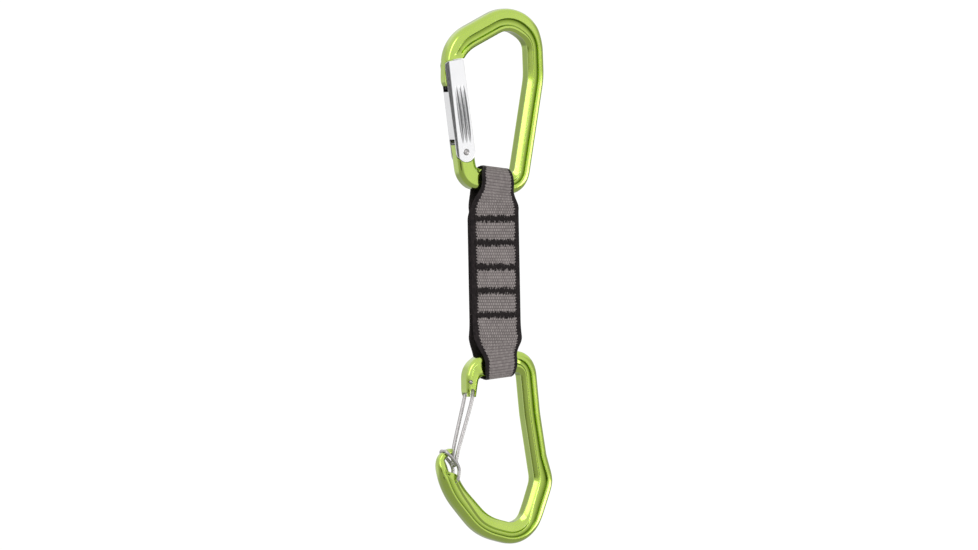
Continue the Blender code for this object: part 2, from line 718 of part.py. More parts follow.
def rope_rows():
    hook = ROPE_HOOK_WIDTH / 2
    nose = ROPE_NOSE_WIDTH / 2
    basket = ROPE_BASKET_WIDTH / 2
    spine = ROPE_SPINE_WIDTH / 2
    bar = BAR_HEIGHT / 2
    arm = ROPE_ARM_WIDTH / 2
    half = FRAME_THICKNESS / 2
    thin = ROPE_HOOK_THICKNESS / 2
    slim = ROPE_NOSE_THICKNESS / 2
    small = (FRAME_EDGE, INNER_LAND, INNER_LAND, 0.0)
    plain = (half, FRAME_EDGE, INNER_LAND, INNER_LAND, 0.0)
    deep = (half, FRAME_EDGE, ROPE_BASKET_RIM, INNER_LAND, RECESS_DEPTH)
    ribbed = (half, FRAME_EDGE, ROPE_SPINE_RIM, INNER_LAND, RECESS_DEPTH)
    seat = (half, BAR_EDGE, BAR_EDGE + RECESS_WALL, BAR_EDGE + RECESS_WALL, 0.0)
    return (
        (0.00, 0.6 * hook, 0.6 * hook, 0.7 * thin, *small),
        (0.20, hook, hook, thin, *small),
        (1.00, 0.92 * hook, 0.92 * hook, thin, *small),
        (1.12, 0.85 * nose, 0.85 * nose, thin, *small),
        (1.28, nose, nose, slim, *small),
        (1.55, nose, nose + 0.0001, slim + 0.0004, *small),
        (1.72, nose + ROPE_NOTCH_STEP, nose + 0.0002, half, *small),
        (2.00, nose + ROPE_NOTCH_STEP, nose + 0.0005, half, FRAME_EDGE, ROPE_BASKET_RIM, INNER_LAND, RECESS_DEPTH),
        (3.00, basket, basket, *deep),
        (4.00, basket, basket, *deep),
        (4.60, spine, spine, *ribbed),
        (5.00, spine, spine + ROPE_SPUR_RISE, *ribbed),
        (5.36, spine, spine, *ribbed),
        (6.80, spine, spine, *ribbed),
        (7.10, bar, bar, half, BAR_EDGE, ROPE_SPINE_RIM + RECESS_WALL, BAR_EDGE + RECESS_WALL, RECESS_DEPTH),
        (7.26, bar, bar, *seat),
        (7.78, bar, bar, *seat),
        (8.10, 0.5 * (bar + arm), 0.5 * (bar + arm), *plain),
        (8.50, arm, arm, *plain),
        (9.00, 0.85 * arm, 0.78 * arm, *plain),
    )


def hood_half():
    return ROPE_HOOK_THICKNESS / 2 + SEAT_GAP + HOOD_RADIUS


def build_rope_frame(carabiner, gate_pivot):
    frame = add_part(
        "rope_carabiner_frame", lofted_frame("rope_carabiner_frame", rope_line(), rope_rows()), GREEN, carabiner
    )
    wide = FRAME_THICKNESS
    room = FRAME_THICKNESS / 2 - FORK_WALL
    left = WIRE_EXIT[0] - WIRE_EXIT_SKEW - WIRE_RADIUS - SEAT_GAP
    reach = 2 * abs(ROPE_ARM_END[1] - WIRE_PIVOT[1])
    slot = ((left, -room, -reach), (reach, room, WIRE_RADIUS + 2 * SEAT_GAP))
    holes = rod("wire_end_holes", WIRE_RADIUS + RUN_GAP, (0.0, -wide, 0.0), (0.0, wide, 0.0))
    notch_half = EXIT_NOTCH_WIDTH / 2
    notch_x = WIRE_EXIT[0]
    outline = arc((notch_x, -EXIT_NOTCH_TOP - notch_half), notch_half, 0.0, math.pi, 8)
    outline += [(notch_x - notch_half, -reach), (notch_x + notch_half, -reach)]
    notch = prism("exit_notch", outline, -wide, -room / 2)
    cutters = [
        add_cutter("fork_slot", boxes("fork_slot", [slot]), gate_pivot),
        add_cutter("wire_end_holes", holes, gate_pivot),
        add_cutter("exit_notch", notch, gate_pivot),
    ]
    groove_x = HOOD_BEND[0] + HOOD_BOW / 2
    groove = rod("hood_groove", HOOD_RADIUS + SEAT_GAP, (groove_x, -wide, HOOD_BEND[1]), (groove_x, wide, HOOD_BEND[1]))
    cutters.append(add_cutter("hood_groove", groove, carabiner))
    for name, low, high in (("flange_end_front", -wide, -NOTCH_WEB / 2), ("flange_end_back", NOTCH_WEB / 2, wide)):
        cutters.append(add_cutter(name, prism(name, FLANGE_END, low, high), carabiner))
    for side, name in ((-1, "hood_hole_front"), (1, "hood_hole_back")):
        route = hood_leg(side)
        end = Vector(route[-1])
        way = (end - Vector(route[-2])).normalized()
        hole = rod(name, HOOD_RADIUS + RUN_GAP, end - way * 2 * HOOD_HOLE_DEPTH, end + way * SEAT_GAP, 12)
        cutters.append(add_cutter(name, hole, carabiner))
    cut(frame, *cutters)


def build_wire_gate(gate_pivot):
    end = FRAME_THICKNESS / 2 - RUN_GAP
    deep = FRAME_THICKNESS / 2 - FORK_WALL - RUN_GAP - WIRE_RADIUS
    shin = 0.5 * (deep + WIRE_TIP_HALF)
    front = [
        (0.0, -end, 0.0),
        (0.0, -deep - WIRE_RADIUS, 0.0),
        (0.3 * WIRE_EXIT[0], -deep, -WIRE_RADIUS),
        (WIRE_EXIT[0] + WIRE_EXIT_SKEW, -deep, WIRE_EXIT[1]),
        (WIRE_LIP[0] + WIRE_LIP_SKEW, -WIRE_TIP_HALF, WIRE_LIP[1]),
        (WIRE_TIP[0] + 0.0006, -WIRE_TIP_HALF, WIRE_TIP[1] + WIRE_TIP_HALF),
    ]
    back = [
        (WIRE_TIP[0] + 0.0006, WIRE_TIP_HALF, WIRE_TIP[1] + WIRE_TIP_HALF),
        (WIRE_LIP[0] - WIRE_LIP_SKEW, WIRE_TIP_HALF, WIRE_LIP[1]),
        (WIRE_EXIT[0] - WIRE_EXIT_SKEW, deep, WIRE_EXIT[1]),
        (0.3 * WIRE_EXIT[0], deep, -WIRE_RADIUS),
        (0.0, deep + WIRE_RADIUS, 0.0),
        (0.0, end, 0.0),
    ]
    tip = (WIRE_TIP[0], 0.0, WIRE_TIP[1])
    wire("rope_wire_gate", smooth_route(front + [tip] + back, 5), WIRE_RADIUS, STAINLESS, gate_pivot)


def hood_leg(side):
    """One leg of the hood, from the bend behind the hook to its hole in the basket."""
    half = hood_half()
    points = [(x, side * half, z) for x, z in HOOD_ROUTE]
    return points + [(HOOD_END[0], side * HOOD_END_HALF, HOOD_END[1])]


def build_hood_wire(carabiner):
    half = hood_half()
    bend = [
        (HOOD_BEND[0] + HOOD_BOW, -0.7 * half, HOOD_BEND[1]),
        (HOOD_BEND[0], 0.0, HOOD_BEND[1]),
        (HOOD_BEND[0] + HOOD_BOW, 0.7 * half, HOOD_BEND[1]),
    ]
    points = list(reversed(hood_leg(-1))) + bend + hood_leg(1)
    wire("rope_hood_wire", smooth_route(points, 4), HOOD_RADIUS, STAINLESS, carabiner)


def main():
    clear_scene()
    gate_pivot = add_empty("bolt_gate_pivot", (BOLT_PIVOT[0], 0.0, BOLT_PIVOT[1]), turn=-GATE_LEAN)
    hanger = add_empty("sling_pivot", sling_top())
    carabiner = add_empty("rope_carabiner_pivot", (SLING_LEAN, 0.0, -SLING_SPAN), hanger)
    wire_pivot = add_empty("rope_gate_pivot", (WIRE_PIVOT[0], 0.0, WIRE_PIVOT[1]), carabiner)
    build_bolt_frame(gate_pivot)
    build_gate(gate_pivot)
    build_plunger_and_spring(gate_pivot)
    build_webbing(hanger)
    build_bar_tacks(hanger)
    build_rope_frame(carabiner, wire_pivot)
    build_wire_gate(wire_pivot)
    build_hood_wire(carabiner)
    bpy.context.view_layer.update()


main()
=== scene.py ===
"""Looks of the climbing quickdraw: fine meshes, procedural finishes, light and camera.

Units are metres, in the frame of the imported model: +Z up, gates towards -X, +Y to the back.
"""

import cmath
import math

import bmesh
import bpy
import numpy as np
from mathutils import Matrix, Vector


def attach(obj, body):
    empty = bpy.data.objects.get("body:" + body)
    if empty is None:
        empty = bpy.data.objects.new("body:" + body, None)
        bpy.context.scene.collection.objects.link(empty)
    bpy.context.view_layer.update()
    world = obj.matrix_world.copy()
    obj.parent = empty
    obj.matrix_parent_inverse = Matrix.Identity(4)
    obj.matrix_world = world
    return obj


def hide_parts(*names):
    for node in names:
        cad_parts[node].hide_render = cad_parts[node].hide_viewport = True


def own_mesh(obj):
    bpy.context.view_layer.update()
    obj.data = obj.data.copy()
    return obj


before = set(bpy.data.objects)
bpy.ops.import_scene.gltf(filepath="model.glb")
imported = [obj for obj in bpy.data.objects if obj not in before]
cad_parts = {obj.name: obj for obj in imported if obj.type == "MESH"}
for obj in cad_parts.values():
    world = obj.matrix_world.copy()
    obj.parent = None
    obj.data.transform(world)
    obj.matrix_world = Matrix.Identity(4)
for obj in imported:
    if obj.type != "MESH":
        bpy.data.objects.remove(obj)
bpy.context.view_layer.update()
rng = np.random.default_rng(7)

# Clearances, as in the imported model
SEAT_GAP = 0.0003
RUN_GAP = 0.0002

# Forged I-beam that both carabiner frames share
FRAME_THICKNESS = 0.0096
FRAME_HALF = FRAME_THICKNESS / 2
FRAME_EDGE = 0.0022
BAR_EDGE = 0.0030
BAR_HEIGHT = 0.0115
HEEL_RELIEF = 0.0004
RECESS_DEPTH = 0.0014
RECESS_WALL = 0.0008
OUTER_WALL = 0.0007
OUTER_ROUND = 1.4
BEVEL_FLATNESS = 0.88
# Painted shade on the frames: its strength at the inner end of the recess floor, and on the inner side
FLOOR_PAINTED_SHADE = 0.15
INNER_PAINTED_SHADE = 0.62
BOW_EDGE = 0.0016
INNER_WALL = 0.0011
INNER_LAND = 0.0025
SPINE_RIM = 0.0034

# Sections of both frames along the sling's bar, and at the heel where the spine's recess runs into it
SEAT_RIM = BAR_EDGE + RECESS_WALL
SEAT = (FRAME_HALF, BAR_EDGE, SEAT_RIM, SEAT_RIM, 0.0, 0.0, 0.0)
HEEL = (FRAME_HALF, BAR_EDGE, SPINE_RIM + RECESS_WALL, SEAT_RIM, RECESS_DEPTH, 0.0, 0.0)

# Limits of a beam's section: shares of the room that each part may fill, and how steep its roundings are
SECTION_FILL = 0.94
OUTER_RUN_FILL = 0.9
OUTER_DROP_FILL = 0.92
OUTER_DROP_SLOPE = 0.65
INNER_RUN_FILL = 0.95
INNER_DROP_FILL = 0.8
INNER_DROP_SLOPE = 0.75
TURN_STEPS = 12
FLOOR_STEPS = 8
FLAT_STEPS = 4

# How far the outer rounding comes down the side, as a share of half the thickness
BOLT_ARM_SWELL = 0.6
BOW_SWELL = 0.75
HOOK_SWELL = 0.8
BASKET_SWELL = 0.75
ROPE_SPINE_SWELL = 0.3
ROPE_TOE_SWELL = 0.7
ROPE_ARM_SWELL = 0.45

# Bolt carabiner, widths in its plane
BOLT_NOSE_WIDTH = 0.0064
BOLT_BOW_WIDTH = 0.0122
BOLT_SPINE_WIDTH = 0.0094
BOLT_ARM_WIDTH = 0.0102
BOLT_BOW_RIM = 0.0052
NOSE_BLADE = 0.0048
TONGUE_THICKNESS = 0.0048

# Bolt carabiner: corners (x, z) of its middle line with their bend radii
# The order is nose tip, shoulder, crown, waist, heel and toe. The pivot arm follows.
BOLT_HEEL = (0.0075, -0.0832)
BOLT_TOE = (-0.0238, -0.0797)
BOLT_PIVOT = (-0.0259, -0.0657)
BOLT_CORNERS = (
    (-0.0355, -0.0304, 0.0),
    (-0.0315, -0.0078, 0.020),
    (0.0158, 0.0162, 0.017),
    (0.0174, -0.0249, 0.040),
    (*BOLT_HEEL, 0.008),
    (*BOLT_TOE, 0.007),
)

# Solid gate, in its own frame: origin on the rivet, z along the gate, x towards the spine
GATE_LEAN = math.radians(8.3)
GATE_LENGTH = 0.0500
GATE_THICKNESS = 0.0090
GATE_FOOT_RADIUS = 0.0054
GATE_TOP_WIDTH = 0.0108
GATE_CORNER = 0.0013
GATE_OUTER_CORNER = 0.0024
GATE_EDGE = 0.0014
NOSE_SLOT_WALL = 0.0004
NOSE_SLOT_BOTTOM = 0.0335
TONGUE_HEIGHT = 0.0046
FOOT_SLOT_ROOM = 0.0030
RIVET_RADIUS = 0.0015
RIVET_HEAD_RISE = 0.00015
RIVET_FLAT = 0.9
RIVET_RINGS = 3.0
RIVET_RING_DEPTH = 0.00004
BORE_RADIUS = 0.0021
BORE_OFFSET = 0.0010
BORE_TOP = 0.0310
PLUNGER_LENGTH = 0.0085
SPRING_BOTTOM = TONGUE_HEIGHT + PLUNGER_LENGTH + 2 * SEAT_GAP
SPRING_WIRE_RADIUS = 0.0003
SPRING_TURNS = 9
SPRING_TURN_STEPS = 24
EDGE_GRIND_LOW = 0.0009
EDGE_GRIND_TOP = 0.0019
FLUTE_PLACES = (-0.0012, 0.0010, 0.0032)
FLUTE_MIDDLE = 0.0205
FLUTE_HALF = (0.0011, 0.0011, 0.0165)
FLUTE_LIFT = 0.00030

# Sling: one webbing strip with a narrow loop at each end, three layers where it is sewn
WEBBING_THICKNESS = 0.0015
WEBBING_EDGE = 0.0006
LOOP_WIDTH = 0.0196
LOOP_TAPER_NEAR = 0.0025
LOOP_TAPER_FAR = 0.0150
LOOP_TUCK = 0.0038
SEWN_WIDTH = 0.0295
SEWN_SHIFT = 0.0004
SLING_SPAN = 0.0983
SLING_LEAN = 0.0021
SLING_TOP_X = -0.0081
SEWN_CENTRE = 0.0460
SEWN_LENGTH = 0.0580
TAIL_SHORTFALL = 0.0030
TAIL_REACH = 0.0048
TAIL_TUCK = 0.0035
TAIL_ROUND = 0.0090
LOOP_WRAP = math.radians(20.0)
PICK_PITCH = 0.0016
PICK_STEPS = 4
YARN_COUNT = 27
YARN_STEPS = 2
YARN_RELIEF = 0.00022
YARN_DIP = 0.35
TACK_COUNT = 5
TACK_PITCH = 0.01295
TACK_WIDTH = 0.0245
TACK_HEIGHT = 0.0027
STITCH_PITCH = 0.00048
STITCH_RADIUS = 0.00026
STITCH_LENGTHS = (0.62, 0.95, 1.45)
STITCH_SPREAD = (0.9, 1.1)
STITCH_LEAN = 0.00030
STITCH_LIFT = (0.6, 1.2)

# Rope carabiner, widths in its plane; its frame's origin is on the bar that carries the sling
ROPE_HOOK_WIDTH = 0.0036
ROPE_HOOK_THICKNESS = 0.0048
ROPE_NOSE_WIDTH = 0.0052
ROPE_NOSE_THICKNESS = 0.0070
NOSE_RIM = 0.0030
NOSE_RECESS = 0.0006
ROPE_BASKET_WIDTH = 0.0116
ROPE_SPINE_WIDTH = 0.0095
ROPE_ARM_WIDTH = 0.0076
ARM_RIM = 0.0024
ARM_STEP = 0.0004
ROPE_BASKET_RIM = 0.0031
BASKET_LAND = 0.0050
ROPE_NOTCH_STEP = 0.0046
ROPE_SPUR_TENT = (5.0, 0.0017, 4.10, 5.36)

# Rope carabiner: corners (x, z) of its middle line with their bend radii
# The order is hook tip, hook, chest, basket, bottom, spur, waist, heel, toe and arm end.
ROPE_HEEL = (0.0180, 0.0021)
ROPE_TOE = (-0.0148, -0.0018)
ROPE_ARM_END = (-0.0161, -0.0178)
ROPE_CORNERS = (
    (-0.0262, -0.0463, 0.0),
    (-0.0340, -0.0503, 0.0035),
    (-0.0313, -0.0665, 0.034),
    (-0.0075, -0.0881, 0.030),
    (0.01705, -0.0940, 0.013),
    (0.0273, -0.0632, 0.015),
    (0.0211, -0.0272, 0.060),
    (*ROPE_HEEL, 0.008),
    (*ROPE_TOE, 0.0075),
    (*ROPE_ARM_END, 0.0),
)

# Wire gate and hood of the rope carabiner
WIRE_RADIUS = 0.0010
WIRE_PIVOT = (-0.01725, -0.0099)
WIRE_EXIT = (0.0011, -0.0074)
WIRE_EXIT_SKEW = 0.0013
WIRE_LIP = (-0.0065, -0.0352)
WIRE_LIP_SKEW = 0.0008
WIRE_TIP = (-0.0083, -0.0450)
WIRE_TIP_HALF = 0.00145
WIRE_TIP_BOW = 0.0006
FORK_WALL = 0.0015
EXIT_NOTCH_WIDTH = 0.0031
EXIT_NOTCH_TOP = 0.0037
HOOD_RADIUS = 0.00095
HOOD_BEND = (-0.0318, -0.0472)
HOOD_ROUTE = (
    (-0.0309, -0.0483), (-0.0286, -0.0502), (-0.0254, -0.0537), (-0.0240, -0.0570), (-0.0243, -0.0604)
)
HOOD_END = (-0.0251, -0.0640)
HOOD_BOW = 0.0003
HOOD_TURN = 0.7
HOOD_HALF = ROPE_HOOK_THICKNESS / 2 + SEAT_GAP + HOOD_RADIUS
NOTCH_WEB = 0.0038
FLANGE_END = (
    (-0.0300, -0.0540), (-0.0300, -0.0575), (-0.0294, -0.0600),
    (-0.0282, -0.0627), (-0.0200, -0.0622), (-0.0200, -0.0540),
)
HOOD_END_HALF = 0.0029
HOOD_HOLE_DEPTH = 0.0025

# How finely the visual meshes are cut
RING_STEP = 0.0006
LINE_SOFTNESS = 0.0012
SIZE_SOFTNESS = 0.0012
ROUND_SIDES = 40
WIRE_SIDES = 28
CORNER_STEPS = 48
LOOP_STEPS = 90
LEG_STEPS = 40
ROUNDING_STEPS = 6
ROUNDING_ANGLE = math.radians(60.0)
SMOOTH_ANGLE = math.radians(32.0)
RIVET_SMOOTH_ANGLE = math.radians(50.0)
TUBE_SMOOTH_ANGLE = math.radians(60.0)
WEAVE_SMOOTH_ANGLE = math.radians(70.0)
DOME_STEPS = (0.9, 0.6, 0.25)
OFF_AXIS = (0.31, 0.85, 0.43)
GATE_CORNER_STEPS = (8, 12)
GATE_SPACE_STEPS = 40
NOTCH_STEPS = 24
FLUTE_STEPS = (36, 40)
RIVET_STEPS = 28
RIVET_CENTRE = 0.02
COIL_SIDES = 10
STITCH_SIDES = 8
STITCH_STEPS = 9
STRAP_SOFTNESS = 2.0
WIRE_STEPS = 12
HOOD_STEPS = 10

# Camera and floor
CAMERA_AZIMUTH = math.radians(28.0)
CAMERA_TARGET = (-0.0098, 0.0, -0.1319)
CAMERA_DISTANCE = 6.0
VIEW_WIDTH = 978 * 0.00054
SENSOR_WIDTH = 36.0
FLOOR_HEIGHT = -0.40

# Brightness of the studio at compass angles in degrees from +X towards +Y, in three bands up from the floor
WORLD_STRENGTH = 5.0
UPPER_RING = (
    (-180, 0.9), (-154, 1.0), (-145, 2.6), (-130, 2.6), (-120, 1.0), (-62, 1.0),
    (-45, 0.75), (-30, 0.55), (55, 0.55), (85, 0.7), (132, 0.75), (180, 0.9),
)
MIDDLE_RING = (
    (-180, 0.7), (-120, 0.75), (-80, 1.0), (-62, 1.0), (-45, 0.75),
    (-30, 0.5), (55, 0.5), (85, 0.7), (132, 0.75), (180, 0.7),
)
LOWER_RING = (
    (-180, 0.5), (-172, 0.35), (-165, 0.05), (-146, 0.05), (-137, 0.45), (-110, 0.55),
    (-85, 0.8), (-62, 1.0), (-55, 1.0), (-48, 4.5), (-28, 4.5), (-16, 0.6),
    (60, 0.45), (100, 0.8), (130, 0.8), (150, 0.5), (180, 0.5),
)
ZENITH = 0.95
NADIR = 0.45
BACKDROP = 1.05

# Heights over which one band of the studio turns into the next
NADIR_TO_LOWER = (-0.32, -0.20)
LOWER_TO_MIDDLE = (-0.10, 0.03)
MIDDLE_TO_UPPER = (0.12, 0.18)
UPPER_TO_ZENITH = (0.34, 0.46)
KEY_PLACE = (-0.9, -1.0, 0.9)
KEY_SIZE = 0.8
KEY_POWER = 4.0

# Colours of the finishes
GREEN = (0.425, 0.615, 0.020)
GREEN_PALE = (0.465, 0.650, 0.040)
# Edge green: rubbed wear and painted highlight
GREEN_WORN_HIGHLIT = (0.66, 0.74, 0.42)
# Shaded colours, here and below: painted shade in recesses, hollows and the gaps of the weave
GREEN_SHADED = (0.085, 0.150, 0.004)
SILVER = (0.90, 0.90, 0.915)
SILVER_PALE = (0.96, 0.96, 0.97)
SILVER_SHADED = (0.10, 0.10, 0.105)
STEEL = (0.56, 0.54, 0.535)
SPRING_STEEL = (0.50, 0.50, 0.52)
GREY = (0.225, 0.198, 0.193)
GREY_PALE = (0.320, 0.284, 0.278)
GREY_WORN = (0.370, 0.333, 0.324)
GREY_SHADED = (0.030, 0.025, 0.024)
BLACK = (0.006, 0.004, 0.0045)
BLACK_PALE = (0.017, 0.012, 0.0125)
THREAD = (0.007, 0.005, 0.005)
THREAD_PALE = (0.024, 0.018, 0.018)
FLOOR_GREY = (0.86, 0.86, 0.86)
WHITE = (1.0, 1.0, 1.0)


def linked(data):
    obj = bpy.data.objects.new(data.name, data)
    bpy.context.scene.collection.objects.link(obj)
    return obj


def filled(mesh, bm):
    bmesh.ops.recalc_face_normals(bm, faces=bm.faces[:])
    bm.to_mesh(mesh)
    bm.free()
    return mesh


def mesh_from(bm, name="cutter"):
    return filled(bpy.data.meshes.new(name), bm)


def mesh_of(name, points, faces):
    mesh = bpy.data.meshes.new(name)
    mesh.from_pydata([tuple(p) for p in points], [], [tuple(f) for f in faces])
    mesh.update()
    bm = bmesh.new()
    bm.from_mesh(mesh)
    return filled(mesh, bm)


def smoothed(mesh, angle=SMOOTH_ANGLE):
    mesh.shade_smooth()
    mesh.set_sharp_from_angle(angle=angle)
    return mesh


def moved(mesh, place):
    mesh.transform(place)
    return mesh


def skin(rows, around, base=0):
    """Faces over rows of points that each go once round, with a cap on the first and the last row."""
    faces = []
    for i in range(rows - 1):
        for k in range(around):
            first = base + i * around + k
            second = base + i * around + (k + 1) % around
            faces.append((first, second, second + around, first + around))
    for row in (0, rows - 1):
        faces.append([base + row * around + k for k in range(around)])
    return faces


def prism(outline, low, high, name="cutter"):
    """A flat outline of (x, z) points, drawn out along Y from low to high."""
    bm = bmesh.new()
    face = bm.faces.new([bm.verts.new((x, low, z)) for x, z in outline])
    drawn = bmesh.ops.extrude_face_region(bm, geom=[face])["geom"]
    far_side = [item for item in drawn if isinstance(item, bmesh.types.BMVert)]
    bmesh.ops.translate(bm, verts=far_side, vec=(0.0, high - low, 0.0))
    return mesh_from(bm, name)


def block(low, high):
    bm = bmesh.new()
    made = bmesh.ops.create_cube(bm, size=1.0)["verts"]
    bmesh.ops.scale(bm, verts=made, vec=Vector(high) - Vector(low))
    bmesh.ops.translate(bm, verts=made, vec=(Vector(high) + Vector(low)) / 2)
    return mesh_from(bm)


def rod(radius, start, end):
    bm = bmesh.new()
    run = Vector(end) - Vector(start)
    turn = run.to_track_quat("Z", "Y").to_matrix().to_4x4()
    turn.translation = (Vector(start) + Vector(end)) / 2
    bmesh.ops.create_cone(
        bm, cap_ends=True, segments=ROUND_SIDES, radius1=radius, radius2=radius, depth=run.length, matrix=turn
    )
    return mesh_from(bm)


def cross_hole(radius, x=0.0, z=0.0):
    return rod(radius, (x, -FRAME_THICKNESS, z), (x, FRAME_THICKNESS, z))


def long_ball(centre, halves):
    bm = bmesh.new()
    around, along = FLUTE_STEPS
    made = bmesh.ops.create_uvsphere(bm, u_segments=around, v_segments=along, radius=1.0)["verts"]
    bmesh.ops.scale(bm, verts=made, vec=halves)
    bmesh.ops.translate(bm, verts=made, vec=centre)
    return mesh_from(bm)


def arc(centre, radius, start, end, steps):
    angles = np.linspace(start, end, steps + 1)
    return [(centre[0] + radius * math.cos(a), centre[1] + radius * math.sin(a)) for a in angles]


def hermite(t, start, start_way, end, end_way):
    """A smooth curve from start to end, with the given ways at its two ends."""
    near = (2 * t**3 - 3 * t**2 + 1) * start + (t**3 - 2 * t**2 + t) * start_way
    return near + (3 * t**2 - 2 * t**3) * end + (t**3 - t**2) * end_way


def smooth_route(points, steps):
    """Points on a Catmull-Rom curve through the given points."""
    knots = [Vector(p) for p in points]
    knots = [2 * knots[0] - knots[1]] + knots + [2 * knots[-1] - knots[-2]]
    route = []
    for a, b, c, d in zip(knots, knots[1:], knots[2:], knots[3:]):
        for t in np.arange(steps) / steps:
            route.append(hermite(float(t), b, (c - a) / 2, c, (d - b) / 2))
    return route + [knots[-2]]


def units(vectors):
    return vectors / np.linalg.norm(vectors, axis=1, keepdims=True)


def tubes(name, routes, radius, sides):
    """One mesh of round tubes with domed ends, each along its own route."""
    points = []
    faces = []
    angles = 2 * math.pi * np.arange(sides) / sides
    for route in routes:
        places = np.array([tuple(p) for p in route])
        ways = units(np.gradient(places, axis=0))
        side = np.cross(ways[0], OFF_AXIS)
        base = len(points)
        domes = [(radius * r, math.sqrt(1 - r * r)) for r in DOME_STEPS]
        stops = [(places[0] - ways[0] * rise, ways[0], share) for rise, share in domes]
        stops += [(place, way, 1.0) for place, way in zip(places, ways)]
        stops += [(places[-1] + ways[-1] * rise, ways[-1], share) for rise, share in reversed(domes)]
        for place, way, share in stops:
            side = side - way * (side @ way)
            side = side / np.linalg.norm(side)
            across = np.cross(way, side)
            for angle in angles:
                points.append(place + radius * share * (math.cos(angle) * side + math.sin(angle) * across))
        faces += skin(len(stops), sides, base)
    return smoothed(mesh_of(name, points, faces), TUBE_SMOOTH_ANGLE)


def apply_modifiers(obj):
    bpy.context.view_layer.update()
    made = bpy.data.meshes.new_from_object(obj.evaluated_get(bpy.context.evaluated_depsgraph_get()))
    obj.modifiers.clear()
    obj.data = made


def carved(mesh, cutters, place=None, rounding=None):
    """The mesh with every cutter taken away from it, moved to its place."""
    obj = linked(mesh)
    if rounding:
        bevel = obj.modifiers.new("rounding", "BEVEL")
        bevel.width = rounding
        bevel.segments = ROUNDING_STEPS
        bevel.limit_method = "ANGLE"
        bevel.angle_limit = ROUNDING_ANGLE
    tools = [linked(cutter) for cutter in cutters]
    for tool in tools:
        cut = obj.modifiers.new("cut", "BOOLEAN")
        cut.operation = "DIFFERENCE"
        cut.solver = "MANIFOLD"
        cut.object = tool
    apply_modifiers(obj)
    for tool in tools:
        bpy.data.objects.remove(tool)
    smoothed(obj.data)
    obj.modifiers.new("normals", "WEIGHTED_NORMAL").keep_sharp = True
    apply_modifiers(obj)
    if place:
        obj.data.transform(place)
    return obj


class MiddleLine:
    """Straight runs joined by arcs, in numbers x + iz. Station k is the middle of the bend at corner k."""

    def __init__(self, corners):
        self.pieces = []
        self.marks = [0.0]
        self.length = 0.0
        self.turned = 0.0
        spots = [complex(x, z) for x, z, _ in corners]
        here = spots[0]
        for before, place, after, (_, _, radius) in zip(spots, spots[1:], spots[2:], corners[1:]):
            way_in = (place - before) / abs(place - before)
            way_out = (after - place) / abs(after - place)
            turn = cmath.phase(way_out / way_in)
            reach = radius * math.tan(abs(turn) / 2)
            self.add(here, way_in, abs(place - way_in * reach - here), 0.0)
            self.marks.append(self.length + radius * abs(turn) / 2)
            self.add(place - way_in * reach, way_in, radius * abs(turn), math.copysign(1 / radius, turn))
            self.turned += turn
            here = place + way_out * reach
        self.add(here, (spots[-1] - here) / abs(spots[-1] - here), abs(spots[-1] - here), 0.0)
        self.marks.append(self.length)

    def add(self, start, way, length, bend):
        self.pieces.append((self.length, start, way, bend))
        self.length += length

    def at(self, distance):
        begin, start, way, bend = [p for p in self.pieces if p[0] <= distance][-1]
        run = distance - begin
        step = (cmath.exp(1j * bend * run) - 1) / (1j * bend) if bend else run
        spot = start + way * step
        return spot.real, spot.imag

    def distance_at(self, station):
        return float(np.interp(station, range(len(self.marks)), self.marks))

    def fine(self):
        """Evenly spaced distances, with the places and outward directions of the softened line."""
        count = int(self.length / RING_STEP)
        stops = np.linspace(0.0, self.length, count + 1)
        places = softened(np.array([self.at(stop) for stop in stops]), LINE_SOFTNESS * count / self.length)
        ways = units(np.gradient(places, axis=0))
        side = math.copysign(1.0, self.turned)
        return stops, places, side * np.stack((ways[:, 1], -ways[:, 0]), axis=1)


def softened(places, spread):
    """The rows averaged with their neighbours, ends kept."""
    reach = int(4 * spread)
    weights = np.exp(-0.5 * (np.arange(-reach, reach + 1) / spread) ** 2)
    weights = weights / weights.sum()
    before = 2 * places[0] - places[reach:0:-1]
    after = 2 * places[-1] - places[-2:-reach - 2:-1]
    padded = np.concatenate((before, places, after))
    return np.stack([np.convolve(column, weights, "valid") for column in padded.T], axis=1)


def curved(xs, ys, wanted):
    """Values on a smooth curve through the given ones that never overshoots them."""
    xs = np.array(xs)
    ys = np.array(ys)
    steps = np.diff(xs)
    slopes = np.diff(ys) / steps
    tangents = np.zeros(len(xs))
    tangents[0] = slopes[0]
    tangents[-1] = slopes[-1]
    for i in range(1, len(xs) - 1):
        if slopes[i - 1] * slopes[i] > 0:
            first = 2 * steps[i] + steps[i - 1]
            second = steps[i] + 2 * steps[i - 1]
            tangents[i] = (first + second) / (first / slopes[i - 1] + second / slopes[i])
    i = np.clip(np.searchsorted(xs, wanted) - 1, 0, len(steps) - 1)
    t = np.clip((wanted - xs[i]) / steps[i], 0.0, 1.0)
    return hermite(t, ys[i], steps[i] * tangents[i], ys[i + 1], steps[i] * tangents[i + 1])


def eased(value):
    value = np.clip(value, 0.0, 1.0)
    return value * value * (3 - 2 * value)


